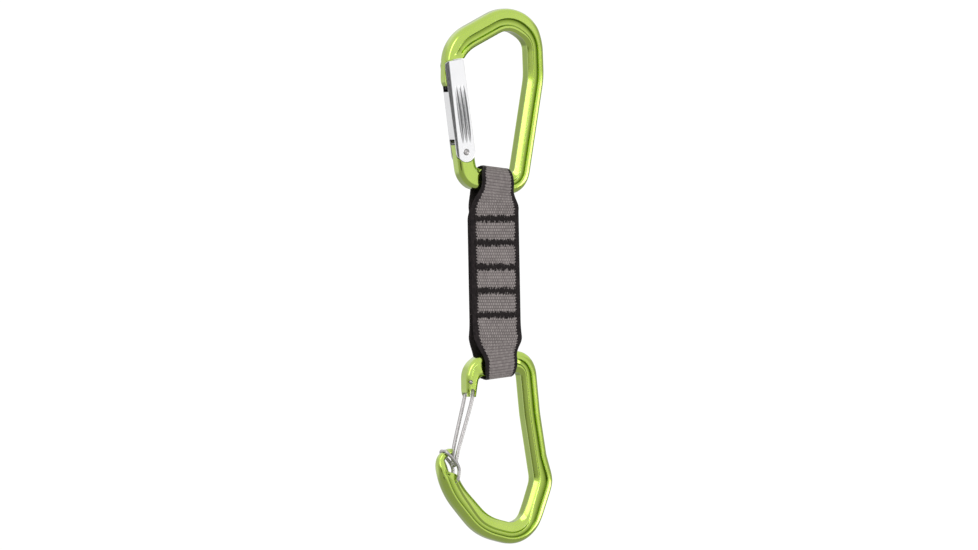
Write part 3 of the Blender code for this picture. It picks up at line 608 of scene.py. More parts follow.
def beam_section(inner, outer, half, edge, rim, land, depth, drop, swell):
    """(outward, y, tint) points round an I-beam: a long outer rounding, a recess and a near-flat inner bevel.

    The painted shade is how much the colour is darkened to paint in shade: strongest under the recess's outer
    wall, fading across the floor, and also on the inner side.
    """
    room = min(1.0, SECTION_FILL * (inner + outer) / (rim + land + OUTER_WALL + INNER_WALL))
    rim = rim * room
    land = land * room
    near = OUTER_WALL * room
    far = INNER_WALL * room
    low = half - depth * drop
    full = min(1.0, depth / RECESS_DEPTH)
    outer_run = min(OUTER_ROUND * edge, OUTER_RUN_FILL * rim)
    outer_drop = min(max(OUTER_DROP_SLOPE * outer_run, swell * half), OUTER_DROP_FILL * half)
    inner_run = min(edge, INNER_RUN_FILL * land)
    inner_drop = min(INNER_DROP_SLOPE * inner_run, INNER_DROP_FILL * low)
    turns = np.linspace(0.0, math.pi / 2, TURN_STEPS)
    walk = np.linspace(0.0, 1.0, TURN_STEPS)
    rise = eased(walk)
    side = [(outer, y, 0.0) for y in np.linspace(0.0, half - outer_drop, FLAT_STEPS)[:-1]]
    for a in turns:
        side.append((outer - outer_run * (1 - math.cos(a)), half - outer_drop * (1 - math.sin(a)), 0.0))
    side += [(n, half, 0.0) for n in np.linspace(outer - outer_run, outer - rim, FLAT_STEPS)[1:-1]]
    side += [(outer - rim - near * t, half - depth * r, full * r) for t, r in zip(walk, rise)]
    deep = half - depth
    floor = np.linspace(outer - rim - near, -inner + land + far, FLOOR_STEPS)
    painted_shades = np.linspace(1.0, FLOOR_PAINTED_SHADE, FLOOR_STEPS)
    side += [(n, deep, full * painted_shade) for n, painted_shade in zip(floor[1:-1], painted_shades[1:-1])]
    for t, r in zip(walk, rise):
        side.append((-inner + land + far * (1 - t), deep + (low - deep) * r, full * FLOOR_PAINTED_SHADE * (1 - r)))
    side += [(n, low, 0.0) for n in np.linspace(-inner + land, -inner + inner_run, FLAT_STEPS)[1:-1]]
    for a, t in zip(turns, walk):
        across = BEVEL_FLATNESS * t + (1 - BEVEL_FLATNESS) * math.sin(a)
        down = BEVEL_FLATNESS * t + (1 - BEVEL_FLATNESS) * (1 - math.cos(a))
        side.append((-inner + inner_run * (1 - across), low - inner_drop * down, 0.0))
    side += [(-inner, y, INNER_PAINTED_SHADE) for y in np.linspace(low - inner_drop, 0.0, FLAT_STEPS)[1:]]
    return side + [(n, -y, painted_shade) for n, y, painted_shade in reversed(side[1:-1])]


def swept_frame(name, line, rows, spur=None):
    """A frame swept along its middle line. Each row is a station and the section's nine sizes.

    A spur is a sharp rise of the outer side: its station, height and the two stations where it dies out.
    """
    table = np.array(rows)
    marks = [line.distance_at(station) for station in table[:, 0]]
    stops, places, outwards = line.fine()
    sizes = np.stack([curved(marks, column, stops) for column in table[:, 1:].T], axis=1)
    sizes = softened(sizes, SIZE_SOFTNESS / RING_STEP)
    if spur:
        peak, rise, before, after = spur
        tent = [line.distance_at(station) for station in (before, peak, after)]
        sizes[:, 1] += np.interp(stops, tent, (0.0, rise, 0.0), left=0.0, right=0.0)
    points = []
    painted_shades = []
    for place, outward, size in zip(places, outwards, sizes):
        for n, y, painted_shade in beam_section(*size):
            points.append((place[0] + n * outward[0], y, place[1] + n * outward[1]))
            painted_shades.append(painted_shade)
    mesh = mesh_of(name, points, skin(len(stops), len(points) // len(stops)))
    # Painted shade, kept on the points so the green finish can darken recesses and the inner side
    mesh.attributes.new("painted_shade", "FLOAT", "POINT").data.foreach_set("value", np.array(painted_shades, dtype=np.float32))
    return mesh


def bolt_line():
    way = np.array(BOLT_PIVOT) - np.array(BOLT_TOE)
    arm_end = np.array(BOLT_PIVOT) + TONGUE_HEIGHT * way / np.hypot(*way)
    return MiddleLine((*BOLT_CORNERS, (*arm_end, 0.0)))


def bolt_rows():
    nose = BOLT_NOSE_WIDTH / 2
    bow = BOLT_BOW_WIDTH / 2
    spine = BOLT_SPINE_WIDTH / 2
    bar = BAR_HEIGHT / 2
    arm = BOLT_ARM_WIDTH / 2
    plain = (FRAME_HALF, FRAME_EDGE, INNER_LAND, INNER_LAND, 0.0, 0.0, BOLT_ARM_SWELL)
    crisp = (FRAME_HALF, BOW_EDGE, INNER_LAND, INNER_LAND, 0.0, 0.0, BOW_SWELL)
    bowed = (FRAME_HALF, BOW_EDGE, BOLT_BOW_RIM, INNER_LAND, RECESS_DEPTH, 0.0, BOW_SWELL)
    ribbed = (FRAME_HALF, FRAME_EDGE, SPINE_RIM, INNER_LAND, RECESS_DEPTH, 0.0, 0.0)
    return (
        (0.00, 0.45 * nose, 0.45 * nose, *crisp),
        (0.05, 0.85 * nose, 0.85 * nose, *crisp),
        (0.12, nose, nose, *crisp),
        (0.70, 0.8 * bow, 0.84 * bow, *crisp),
        (0.82, 0.9 * bow, 0.9 * bow, FRAME_HALF, BOW_EDGE, BOLT_BOW_RIM, INNER_LAND, 0.0, 0.0, BOW_SWELL),
        (0.92, 0.93 * bow, 0.93 * bow, *bowed),
        (1.20, bow, bow, *bowed),
        (1.60, bow, bow, *bowed),
        (2.00, bow, bow, *bowed),
        (2.45, spine, spine, *ribbed),
        (3.90, spine, spine, *ribbed),
        (4.12, bar - HEEL_RELIEF, bar, *HEEL),
        (4.30, bar - HEEL_RELIEF / 2, bar, *SEAT),
        (4.78, bar, bar, *SEAT),
        (5.00, bar, 0.93 * bar, *plain),
        (5.40, arm, arm, *plain),
        (6.00, arm, 1.05 * arm, *plain),
    )


def gate_space(left, right, low, high):
    """Room that the gate sweeps near the nose, between two distances from the middle plane."""
    reach = math.hypot(GATE_LENGTH, GATE_TOP_WIDTH / 2) + SEAT_GAP
    floor = NOSE_SLOT_BOTTOM - GATE_TOP_WIDTH
    start = math.acos(right / reach)
    end = math.acos(left / reach)
    outline = [(left, floor), (right, floor)] + arc((0.0, 0.0), reach, start, end, GATE_SPACE_STEPS)
    return prism(outline, low, high)


def foot_space(low, high):
    """Round pocket for one cheek of the gate's foot, open upwards."""
    reach = GATE_FOOT_RADIUS + SEAT_GAP
    outline = arc((0.0, 0.0), reach, math.pi, 2 * math.pi, CORNER_STEPS)
    return prism(outline + [(reach, 2 * reach), (-reach, 2 * reach)], low, high)


def build_bolt_frame(gate_place):
    wide = FRAME_THICKNESS
    blade = NOSE_BLADE / 2
    tongue = TONGUE_THICKNESS / 2
    side = 2 * GATE_FOOT_RADIUS
    cutters = [
        gate_space(-side, side, -wide, -blade),
        gate_space(-side, side, blade, wide),
        gate_space(NOSE_SLOT_WALL - SEAT_GAP, side, -wide, wide),
        foot_space(-wide, -tongue),
        foot_space(tongue, wide),
        cross_hole(RIVET_RADIUS + RUN_GAP),
    ]
    mesh = swept_frame("bolt_frame_forged", bolt_line(), bolt_rows())
    return carved(mesh, [moved(cutter, gate_place) for cutter in cutters])


def ground_edges(mesh):
    """The gate with its two outer long edges ground flat, wide at the top and narrow at the foot."""
    bm = bmesh.new()
    bm.from_mesh(mesh)
    left = -GATE_TOP_WIDTH / 2
    for side in (-1, 1):
        low = Vector((left, side * (GATE_THICKNESS / 2 - EDGE_GRIND_LOW), 0.0))
        top = Vector((left, side * (GATE_THICKNESS / 2 - EDGE_GRIND_TOP), GATE_LENGTH))
        normal = (top - low).cross(Vector((1.0, side, 0.0)))
        if normal.x > 0:
            normal = -normal
        parts = bm.verts[:] + bm.edges[:] + bm.faces[:]
        cut = bmesh.ops.bisect_plane(bm, geom=parts, plane_co=low, plane_no=normal, clear_outer=True)
        rim = [item for item in cut["geom_cut"] if isinstance(item, bmesh.types.BMEdge)]
        bmesh.ops.contextual_create(bm, geom=rim)
    return filled(mesh, bm)


def build_gate(gate_place):
    half = GATE_THICKNESS / 2
    top = GATE_TOP_WIDTH / 2
    inner_corner = (top - GATE_CORNER, GATE_LENGTH - GATE_CORNER)
    outer_corner = (-top + GATE_OUTER_CORNER, GATE_LENGTH - GATE_OUTER_CORNER)
    outline = arc((0.0, 0.0), GATE_FOOT_RADIUS, math.pi, 2 * math.pi, CORNER_STEPS)
    outline += arc(inner_corner, GATE_CORNER, 0.0, math.pi / 2, GATE_CORNER_STEPS[0])
    outline += arc(outer_corner, GATE_OUTER_CORNER, math.pi / 2, math.pi, GATE_CORNER_STEPS[1])
    blade = NOSE_BLADE / 2 + SEAT_GAP
    tongue = TONGUE_THICKNESS / 2 + SEAT_GAP
    wide = 2 * GATE_FOOT_RADIUS
    foot_top = TONGUE_HEIGHT + FOOT_SLOT_ROOM
    cutters = [
        block((-wide, -blade, NOSE_SLOT_BOTTOM), (NOSE_SLOT_WALL, blade, GATE_LENGTH + wide)),
        block((-wide, -tongue, -wide), (wide, tongue, foot_top)),
        rod(BORE_RADIUS, (BORE_OFFSET, 0.0, foot_top / 2), (BORE_OFFSET, 0.0, BORE_TOP)),
        cross_hole(RIVET_RADIUS + RUN_GAP),
    ]
    for side in (-1, 1):
        for x in FLUTE_PLACES:
            cutters.append(long_ball((x, side * (half + FLUTE_LIFT), FLUTE_MIDDLE), FLUTE_HALF))
    mesh = ground_edges(prism(outline, -half, half, "bolt_gate_polished"))
    return carved(mesh, cutters, gate_place, GATE_EDGE)


def build_rivet(gate_place):
    """The rivet: a shank with a flat turned head at each end, ringed by the tool that formed it."""
    reach = GATE_THICKNESS / 2 + RIVET_HEAD_RISE
    profile = []
    for r in np.linspace(0.0, RIVET_FLAT, RIVET_STEPS):
        ring = RIVET_RING_DEPTH * (math.cos(2 * math.pi * r * RIVET_RINGS) - 1)
        profile.append((RIVET_RADIUS * max(r, RIVET_CENTRE), reach + ring))
    corner = (1 - RIVET_FLAT) * RIVET_RADIUS
    profile += arc((RIVET_RADIUS - corner, reach - corner), corner, math.pi / 2, 0.0, 6)[1:]
    profile += [(r, -y) for r, y in reversed(profile)]
    points = []
    for r, y in profile:
        for angle in 2 * math.pi * np.arange(ROUND_SIDES) / ROUND_SIDES:
            points.append((r * math.cos(angle), y, r * math.sin(angle)))
    mesh = mesh_of("bolt_rivet_turned", points, skin(len(profile), ROUND_SIDES))
    return linked(moved(smoothed(mesh, RIVET_SMOOTH_ANGLE), gate_place))


def build_spring(gate_place):
    """The coil above the plunger, which the plunger presses against the bore's top as the gate opens."""
    low = SPRING_BOTTOM + SPRING_WIRE_RADIUS
    high = BORE_TOP - SEAT_GAP - SPRING_WIRE_RADIUS
    coil = BORE_RADIUS - RUN_GAP - SPRING_WIRE_RADIUS
    route = []
    for share in np.linspace(0.0, 1.0, SPRING_TURNS * SPRING_TURN_STEPS + 1):
        angle = 2 * math.pi * SPRING_TURNS * share
        x = BORE_OFFSET + coil * math.cos(angle)
        route.append((x, coil * math.sin(angle), low + (high - low) * share))
    mesh = tubes("bolt_gate_spring_wound", [route], SPRING_WIRE_RADIUS, COIL_SIDES)
    return linked(moved(mesh, gate_place))


def squash_spring(piece):
    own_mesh(piece)


def bar_slope(toe, heel):
    return (heel[1] - toe[1]) / (heel[0] - toe[0])


def sling_top():
    rise = bar_slope(BOLT_TOE, BOLT_HEEL) * (SLING_TOP_X - BOLT_TOE[0])
    return Vector((SLING_TOP_X, 0.0, BOLT_TOE[1] + rise))


def loop_radius():
    corner = math.hypot(BAR_HEIGHT / 2 - BAR_EDGE, FRAME_HALF - BAR_EDGE) + BAR_EDGE
    return corner + SEAT_GAP + WEBBING_THICKNESS / 2


def leg(start, start_way, end, end_way):
    """Inner points of a smooth curve from a loop to the sewn stretch, or back."""
    size = math.dist(start, end)
    ends = (np.array(start), size * np.array(start_way), np.array(end), size * np.array(end_way))
    return [tuple(hermite(t, *ends)) for t in np.linspace(0.0, 1.0, LEG_STEPS + 1)[1:-1]]


def sling_route():
    """(y, z) points along the webbing strip, from its hidden tail to its outer tail."""
    radius = loop_radius()
    pitch = WEBBING_THICKNESS + SEAT_GAP
    top = SEWN_LENGTH / 2 - SEWN_CENTRE
    bottom = -SEWN_LENGTH / 2 - SEWN_CENTRE
    upper = arc((0.0, 0.0), radius, -LOOP_WRAP, math.pi + LOOP_WRAP, LOOP_STEPS)
    lower = arc((0.0, -SLING_SPAN), radius, math.pi - LOOP_WRAP, 2 * math.pi + LOOP_WRAP, LOOP_STEPS)
    lean = (math.sin(LOOP_WRAP), math.cos(LOOP_WRAP))
    up = (0.0, 1.0)
    down = (0.0, -1.0)
    route = [(0.0, bottom + TAIL_SHORTFALL), (0.0, top)]
    first_leg = leg((0.0, top), up, upper[0], lean)
    route += first_leg + upper
    route += leg(upper[-1], (lean[0], -lean[1]), (-pitch, top), down)
    route += [(-pitch, top), (-pitch, bottom)]
    route += leg((-pitch, bottom), down, lower[0], (-lean[0], -lean[1])) + lower
    route += leg(lower[-1], (-lean[0], lean[1]), (pitch, bottom), up)
    route += [(pitch, bottom), (pitch, top)]
    lying = np.array([(0.0, top)] + first_leg)
    ways = units(np.gradient(lying, axis=0))
    beside = lying + pitch * np.stack((ways[:, 1], -ways[:, 0]), axis=1)
    return np.array(route + [tuple(p) for p in beside[1:] if p[1] < top + TAIL_REACH])


def sling_row(z):
    """Centre x, width and cross slope of the webbing at heights from the bolt carabiner's bar."""
    taper = LOOP_TAPER_FAR - LOOP_TAPER_NEAR
    upper = eased((z + LOOP_TAPER_FAR) / taper)
    lower = eased((LOOP_TAPER_FAR - SLING_SPAN - z) / taper)
    width = SEWN_WIDTH + (LOOP_WIDTH - SEWN_WIDTH) * np.maximum(upper, lower)
    slope = upper * bar_slope(BOLT_TOE, BOLT_HEEL) + lower * bar_slope(ROPE_TOE, ROPE_HEEL)
    centre = SLING_LEAN * np.clip(-z / SLING_SPAN, 0.0, 1.0)
    crown = np.minimum(1.0, np.maximum(np.maximum(0.0, z), -z - SLING_SPAN) / loop_radius())
    tuck = LOOP_TUCK * crown**3
    shift = SEWN_SHIFT * (1 - np.maximum(upper, lower))
    return centre + shift + tuck / 2, width - tuck, slope


def weave_height(yarns, picks):
    """Height of the woven yarns: rows of short floats, every other row shifted by half a yarn."""
    row = np.floor(picks)
    along = 2 * (picks - row) - 1
    shifted = yarns + 0.5 * (row % 2)
    across = 2 * (shifted - np.floor(shifted)) - 1
    return (1 - np.abs(along) ** 3) * (YARN_DIP + (1 - YARN_DIP) * (1 - across**2))


def build_webbing(place):
    route = sling_route()
    run = np.concatenate(([0.0], np.cumsum(np.hypot(*np.diff(route, axis=0).T))))
    step = PICK_PITCH / PICK_STEPS
    stops = np.arange(0.0, run[-1], step)
    line = np.stack([np.interp(stops, run, route[:, axis]) for axis in (0, 1)], axis=1)
    line = softened(line, STRAP_SOFTNESS)
    ways = units(np.gradient(line, axis=0))
    centre, width, slope = sling_row(line[:, 1])
    tuck = TAIL_TUCK * np.clip(1 - (stops[-1] - stops) / TAIL_ROUND, 0.0, 1.0) ** 2
    centre = centre + tuck / 2
    width = width - tuck
    across = np.linspace(-1.0, 1.0, YARN_COUNT * YARN_STEPS + 1)
    half = WEBBING_THICKNESS / 2
    picks = stops[:, None] / PICK_PITCH
    yarns = (across[None, :] + 1) / 2 * YARN_COUNT
    x = across[None, :] * width[:, None] / 2
    into = np.clip((np.abs(x) - width[:, None] / 2 + WEBBING_EDGE) / WEBBING_EDGE, 0.0, 1.0)
    rounded = np.sqrt(1 - into**2)
    height = half - YARN_RELIEF + YARN_RELIEF * weave_height(yarns, picks)
    layers = []
    for out in (1, -1):
        rise = out * rounded * height
        y = line[:, 0, None] - rise * ways[:, 1, None]
        z = line[:, 1, None] + rise * ways[:, 0, None] + slope[:, None] * x
        layers.append(np.stack((centre[:, None] + x, y, z), axis=2))
    ring = np.concatenate((layers[0], layers[1][:, -2:0:-1]), axis=1)
    rows, around = ring.shape[:2]
    points = ring.reshape(-1, 3) + np.array(place)
    mesh = mesh_of("sling_webbing_woven", points, skin(rows, around))
    smoothed(mesh, WEAVE_SMOOTH_ANGLE)
    u = np.concatenate((across, across[-2:0:-1]))
    spots = np.stack(np.broadcast_arrays((u[None, :] + 1) / 2 * YARN_COUNT, picks), axis=2).reshape(-1, 2)
    corners = np.zeros(len(mesh.loops), dtype=np.int32)
    mesh.loops.foreach_get("vertex_index", corners)
    mesh.uv_layers.new(name="strap").data.foreach_set("uv", spots[corners].astype(np.float32).ravel())
    lining = np.concatenate((np.ones(len(across)), np.zeros(len(across) - 2)))
    marks = mesh.attributes.new("lining", "FLOAT", "POINT")
    marks.data.foreach_set("value", np.tile(lining, rows).astype(np.float32))
    return linked(mesh)


def build_bar_tack(number, place):
    """Close rows of thread on both faces of the sling, each stitch a little different."""
    z = TACK_PITCH * ((TACK_COUNT + 1) / 2 - number) - SEWN_CENTRE
    face = 1.5 * WEBBING_THICKNESS + SEAT_GAP
    centre = float(sling_row(np.array(z))[0])

    def reach():
        return TACK_HEIGHT / 2 * rng.choice(STITCH_LENGTHS) * rng.uniform(*STITCH_SPREAD)

    routes = []
    for side in (-1, 1):
        for x in np.arange(-TACK_WIDTH / 2, TACK_WIDTH / 2, STITCH_PITCH):
            high = reach()
            low = -reach()
            lean = rng.uniform(-STITCH_LEAN, STITCH_LEAN)
            lift = STITCH_RADIUS * rng.uniform(*STITCH_LIFT)
            route = []
            for t in np.linspace(0.0, 1.0, STITCH_STEPS):
                y = side * (face + lift * math.sin(math.pi * t) ** 0.4)
                route.append(Vector((centre + x + lean * (2 * t - 1), y, z + low + (high - low) * t)) + place)
            routes.append(route)
    return linked(tubes(f"bar_tack_thread_{number}", routes, STITCH_RADIUS, STITCH_SIDES))


def rope_rows():
    hook = ROPE_HOOK_WIDTH / 2
    nose = ROPE_NOSE_WIDTH / 2
    basket = ROPE_BASKET_WIDTH / 2
    spine = ROPE_SPINE_WIDTH / 2
    bar = BAR_HEIGHT / 2
    arm = ROPE_ARM_WIDTH / 2
    thin = ROPE_HOOK_THICKNESS / 2
    slim = ROPE_NOSE_THICKNESS / 2
    small = (FRAME_EDGE, INNER_LAND, INNER_LAND, 0.0, 0.0, HOOK_SWELL)
    plain = (FRAME_HALF, FRAME_EDGE, INNER_LAND, INNER_LAND, 0.0, 0.0, ROPE_TOE_SWELL)
    deep = (FRAME_HALF, FRAME_EDGE, ROPE_BASKET_RIM, BASKET_LAND, RECESS_DEPTH, 0.5, BASKET_SWELL)
    ribbed = (FRAME_HALF, FRAME_EDGE, SPINE_RIM, INNER_LAND, RECESS_DEPTH, 0.0, ROPE_SPINE_SWELL)
    rimmed = (FRAME_HALF, FRAME_EDGE, ARM_RIM, INNER_LAND, ARM_STEP, 1.0, ROPE_ARM_SWELL)
    notch = nose + ROPE_NOTCH_STEP
    shallow = (INNER_LAND, NOSE_RECESS, 0.0, HOOK_SWELL)
    sinking = (INNER_LAND, RECESS_DEPTH, 0.2, HOOK_SWELL)
    sunk = (INNER_LAND, RECESS_DEPTH, 0.4, HOOK_SWELL)
    return (
        (0.00, 0.30 * hook, 0.30 * hook, 0.40 * thin, *small),
        (0.05, 0.70 * hook, 0.70 * hook, 0.75 * thin, *small),
        (0.20, hook, hook, thin, *small),
        (1.00, 0.92 * hook, 0.92 * hook, thin, *small),
        (1.12, 0.85 * nose, 0.85 * nose, thin, *small),
        (1.28, nose, nose, slim, *small),
        (1.40, nose, nose, slim + 0.0002, *small),
        (1.55, nose, nose + 0.0001, slim + 0.0004, FRAME_EDGE, NOSE_RIM, *shallow),
        (1.72, notch, nose + 0.0002, FRAME_HALF, FRAME_EDGE, NOSE_RIM, *sinking),
        (2.00, notch, nose + 0.0005, FRAME_HALF, FRAME_EDGE, ROPE_BASKET_RIM, *sunk),
        (3.00, basket, basket, *deep),
        (4.00, basket, basket, *deep),
        (4.60, spine, spine + 0.0006, *ribbed),
        (5.20, spine, spine, *ribbed),
        (6.80, spine, spine, *ribbed),
        (7.10, bar, bar, *HEEL),
        (7.26, bar, bar, *SEAT),
        (7.78, bar, bar, *SEAT),
        (7.95, 0.7 * bar + 0.3 * arm, 0.7 * bar + 0.3 * arm, *plain),
        (8.10, 0.5 * (bar + arm), 0.48 * (bar + arm), *rimmed),
        (8.50, arm, 0.98 * arm, *rimmed),
        (8.88, 0.88 * arm, 0.82 * arm, *rimmed),
        (9.00, 0.70 * arm, 0.50 * arm, *rimmed),
    )


def hood_leg(side):
    """One leg of the hood, from the bend behind the hook to its hole in the basket."""
    points = [(x, side * HOOD_HALF, z) for x, z in HOOD_ROUTE]
    return points + [(HOOD_END[0], side * HOOD_END_HALF, HOOD_END[1])]


def build_rope_frame(place, wire_place):
    wide = FRAME_THICKNESS
    room = FRAME_HALF - FORK_WALL
    left = WIRE_EXIT[0] - WIRE_EXIT_SKEW - WIRE_RADIUS - SEAT_GAP
    reach = 2 * abs(ROPE_ARM_END[1] - WIRE_PIVOT[1])
    notch_half = EXIT_NOTCH_WIDTH / 2
    outline = arc((WIRE_EXIT[0], -EXIT_NOTCH_TOP - notch_half), notch_half, 0.0, math.pi, NOTCH_STEPS)
    outline += [(WIRE_EXIT[0] - notch_half, -reach), (WIRE_EXIT[0] + notch_half, -reach)]
    cutters = [
        block((left, -room, -reach), (reach, room, WIRE_RADIUS + 2 * SEAT_GAP)),
        cross_hole(WIRE_RADIUS + RUN_GAP),
        prism(outline, -wide, -room / 2),
    ]
    cutters = [moved(cutter, wire_place) for cutter in cutters]
    groove = cross_hole(HOOD_RADIUS + SEAT_GAP, HOOD_BEND[0] + HOOD_BOW / 2, HOOD_BEND[1])
    cutters.append(moved(groove, place))
    for low, high in ((-wide, -NOTCH_WEB / 2), (NOTCH_WEB / 2, wide)):
        cutters.append(moved(prism(FLANGE_END, low, high), place))
    for side in (-1, 1):
        route = hood_leg(side)
        end = Vector(route[-1])
        way = (end - Vector(route[-2])).normalized()
        hole = rod(HOOD_RADIUS + RUN_GAP, end - way * 2 * HOOD_HOLE_DEPTH, end + way * SEAT_GAP)
        cutters.append(moved(hole, place))
    mesh = swept_frame("rope_frame_forged", MiddleLine(ROPE_CORNERS), rope_rows(), ROPE_SPUR_TENT)
    return carved(moved(mesh, place), cutters)


def wire_half(side):
    """One half of the gate's wire, from its end in the arm to the bend at its tip."""
    end = FRAME_HALF - RUN_GAP
    deep = FRAME_HALF - FORK_WALL - RUN_GAP - WIRE_RADIUS
    return [
        (0.0, side * end, 0.0),
        (0.0, side * (deep + WIRE_RADIUS), 0.0),
        (0.3 * WIRE_EXIT[0], side * deep, -WIRE_RADIUS),
        (WIRE_EXIT[0] - side * WIRE_EXIT_SKEW, side * deep, WIRE_EXIT[1]),
        (WIRE_LIP[0] - side * WIRE_LIP_SKEW, side * WIRE_TIP_HALF, WIRE_LIP[1]),
        (WIRE_TIP[0] + WIRE_TIP_BOW, side * WIRE_TIP_HALF, WIRE_TIP[1] + WIRE_TIP_HALF),
    ]


def build_wire_gate(wire_place):
    points = wire_half(-1) + [(WIRE_TIP[0], 0.0, WIRE_TIP[1])] + wire_half(1)[::-1]
    mesh = tubes("rope_gate_wire", [smooth_route(points, WIRE_STEPS)], WIRE_RADIUS, WIRE_SIDES)
    return linked(moved(mesh, wire_place))


def build_hood(place):
    bend = []
    for side in (-1, 0, 1):
        bend.append((HOOD_BEND[0] + HOOD_BOW * abs(side), HOOD_TURN * side * HOOD_HALF, HOOD_BEND[1]))
    points = hood_leg(-1)[::-1] + bend + hood_leg(1)
    mesh = tubes("rope_hood_bent_wire", [smooth_route(points, HOOD_STEPS)], HOOD_RADIUS, WIRE_SIDES)
    return linked(moved(mesh, place))


class Nodes:
    """A node tree, with short calls that add to it."""

    def __init__(self, tree):
        self.tree = tree

    def node(self, kind, inputs=None, **settings):
        made = self.tree.nodes.new("ShaderNode" + kind)
        for key, value in settings.items():
            setattr(made, key, value)
        for key, value in (inputs or {}).items():
            self.put(made.inputs[key], value)
        return made

    def put(self, target, value):
        if isinstance(value, bpy.types.NodeSocket):
            self.tree.links.new(value, target)
        elif target.type == "RGBA":
            target.default_value = (*value, 1.0)
        else:
            target.default_value = value

    def math(self, operation, *values):
        return self.node("Math", dict(enumerate(values)), operation=operation).outputs[0]

    def map(self, *values):
        """A value taken smoothly from one range to another: value, low, high, new low, new high."""
        return self.node("MapRange", dict(enumerate(values)), interpolation_type="SMOOTHSTEP").outputs[0]

    def mix(self, share, first, second):
        return self.node("Mix", {0: share, 6: first, 7: second}, data_type="RGBA").outputs[2]


class Finish(Nodes):
    """A material and its shader."""

    def __init__(self, name):
        self.material = bpy.data.materials.new(name)
        self.material.use_nodes = True
        super().__init__(self.material.node_tree)
        self.shader = self.tree.nodes["Principled BSDF"]

    def set(self, **values):
        for key, value in values.items():
            self.put(self.shader.inputs[key.replace("_", " ")], value)

    def coordinates(self, scale=(1.0, 1.0, 1.0)):
        place = self.node("TexCoord").outputs["Object"]
        return self.node("Mapping", {"Vector": place, "Scale": scale}).outputs[0]

    def noise(self, vector, scale, detail=3.0):
        return self.node("TexNoise", {"Vector": vector, "Scale": scale, "Detail": detail}).outputs["Fac"]

    def bump(self, height, strength, distance, normal=None):
        inputs = {"Height": height, "Strength": strength, "Distance": distance}
        if normal:
            inputs["Normal"] = normal
        return self.node("Bump", inputs).outputs[0]

    def soft_edges(self, radius):
        return self.node("Bevel", {"Radius": radius}, samples=4).outputs[0]


def anodised_green():
    made = Finish("anodised_green")
    place = made.coordinates()
    drift = made.map(made.noise(place, 60.0, 2.0), 0.35, 0.65, 0.0, 1.0)
    grain = made.noise(place, 2600.0, 2.0)
    colour = made.mix(drift, GREEN, GREEN_PALE)
    # Pointed edges paler: partly rubbed wear, partly a painted highlight along the edges, broken up by noise
    edges = made.map(made.node("NewGeometry").outputs["Pointiness"], 0.52, 0.60, 0.0, 0.35)
    broken = made.map(made.noise(place, 900.0), 0.45, 0.62, 0.0, 1.0)
    colour = made.mix(made.math("MULTIPLY", edges, broken), colour, GREEN_WORN_HIGHLIT)
    # Painted shade: the green darkened towards GREEN_SHADED, and its coat taken away, where the beam's
    # sections paint shade
    painted_shade = made.node("Attribute", attribute_name="painted_shade").outputs["Fac"]
    shade = made.math("MULTIPLY", made.math("POWER", painted_shade, 1.5), 0.9)
    colour = made.mix(shade, colour, GREEN_SHADED)
    made.set(Base_Color=colour, Metallic=1.0, Roughness=made.map(grain, 0.3, 0.7, 0.15, 0.21))
    made.set(Normal=made.bump(grain, 0.012, 0.0001, made.soft_edges(0.00035)))
    made.set(Coat_Weight=made.math("SUBTRACT", 1.0, shade), Coat_Roughness=0.06, Coat_IOR=2.0)
    return made.material


def polished_aluminium():
    made = Finish("polished_aluminium")
    lines = made.noise(made.coordinates(scale=(1.0, 1.0, 0.03)), 5200.0, 2.0)
    drift = made.noise(made.coordinates(), 120.0, 2.0)
    colour = made.mix(drift, SILVER, SILVER_PALE)
    # Painted shade: the silver darkened towards black in the flutes and other hollows, found by ambient
    # occlusion
    painted_hollow_shade = made.node("AmbientOcclusion", {"Distance": FLUTE_HALF[0] * 2}, samples=6, only_local=True)
    colour = made.mix(made.map(painted_hollow_shade.outputs["AO"], 0.62, 0.98, 0.96, 0.0), colour, SILVER_SHADED)
    made.set(Base_Color=colour, Metallic=1.0, Roughness=made.map(lines, 0.3, 0.7, 0.15, 0.22))
    made.set(Normal=made.bump(lines, 0.008, 0.0001, made.soft_edges(0.0004)))
    return made.material


def drawn_steel(name, bright):
    made = Finish(name)
    spots = made.noise(made.coordinates(), 420.0, 3.0)
    lines = made.noise(made.coordinates(scale=(1.0, 1.0, 0.02)), 5200.0, 2.0)
    dull = tuple(0.88 * c for c in bright)
    colour = made.mix(made.map(spots, 0.35, 0.7, 0.0, 1.0), bright, dull)
    made.set(Base_Color=colour, Metallic=1.0, Roughness=made.map(lines, 0.3, 0.7, 0.32, 0.40))
    made.set(Normal=made.bump(lines, 0.004, 0.0001))
    return made.material


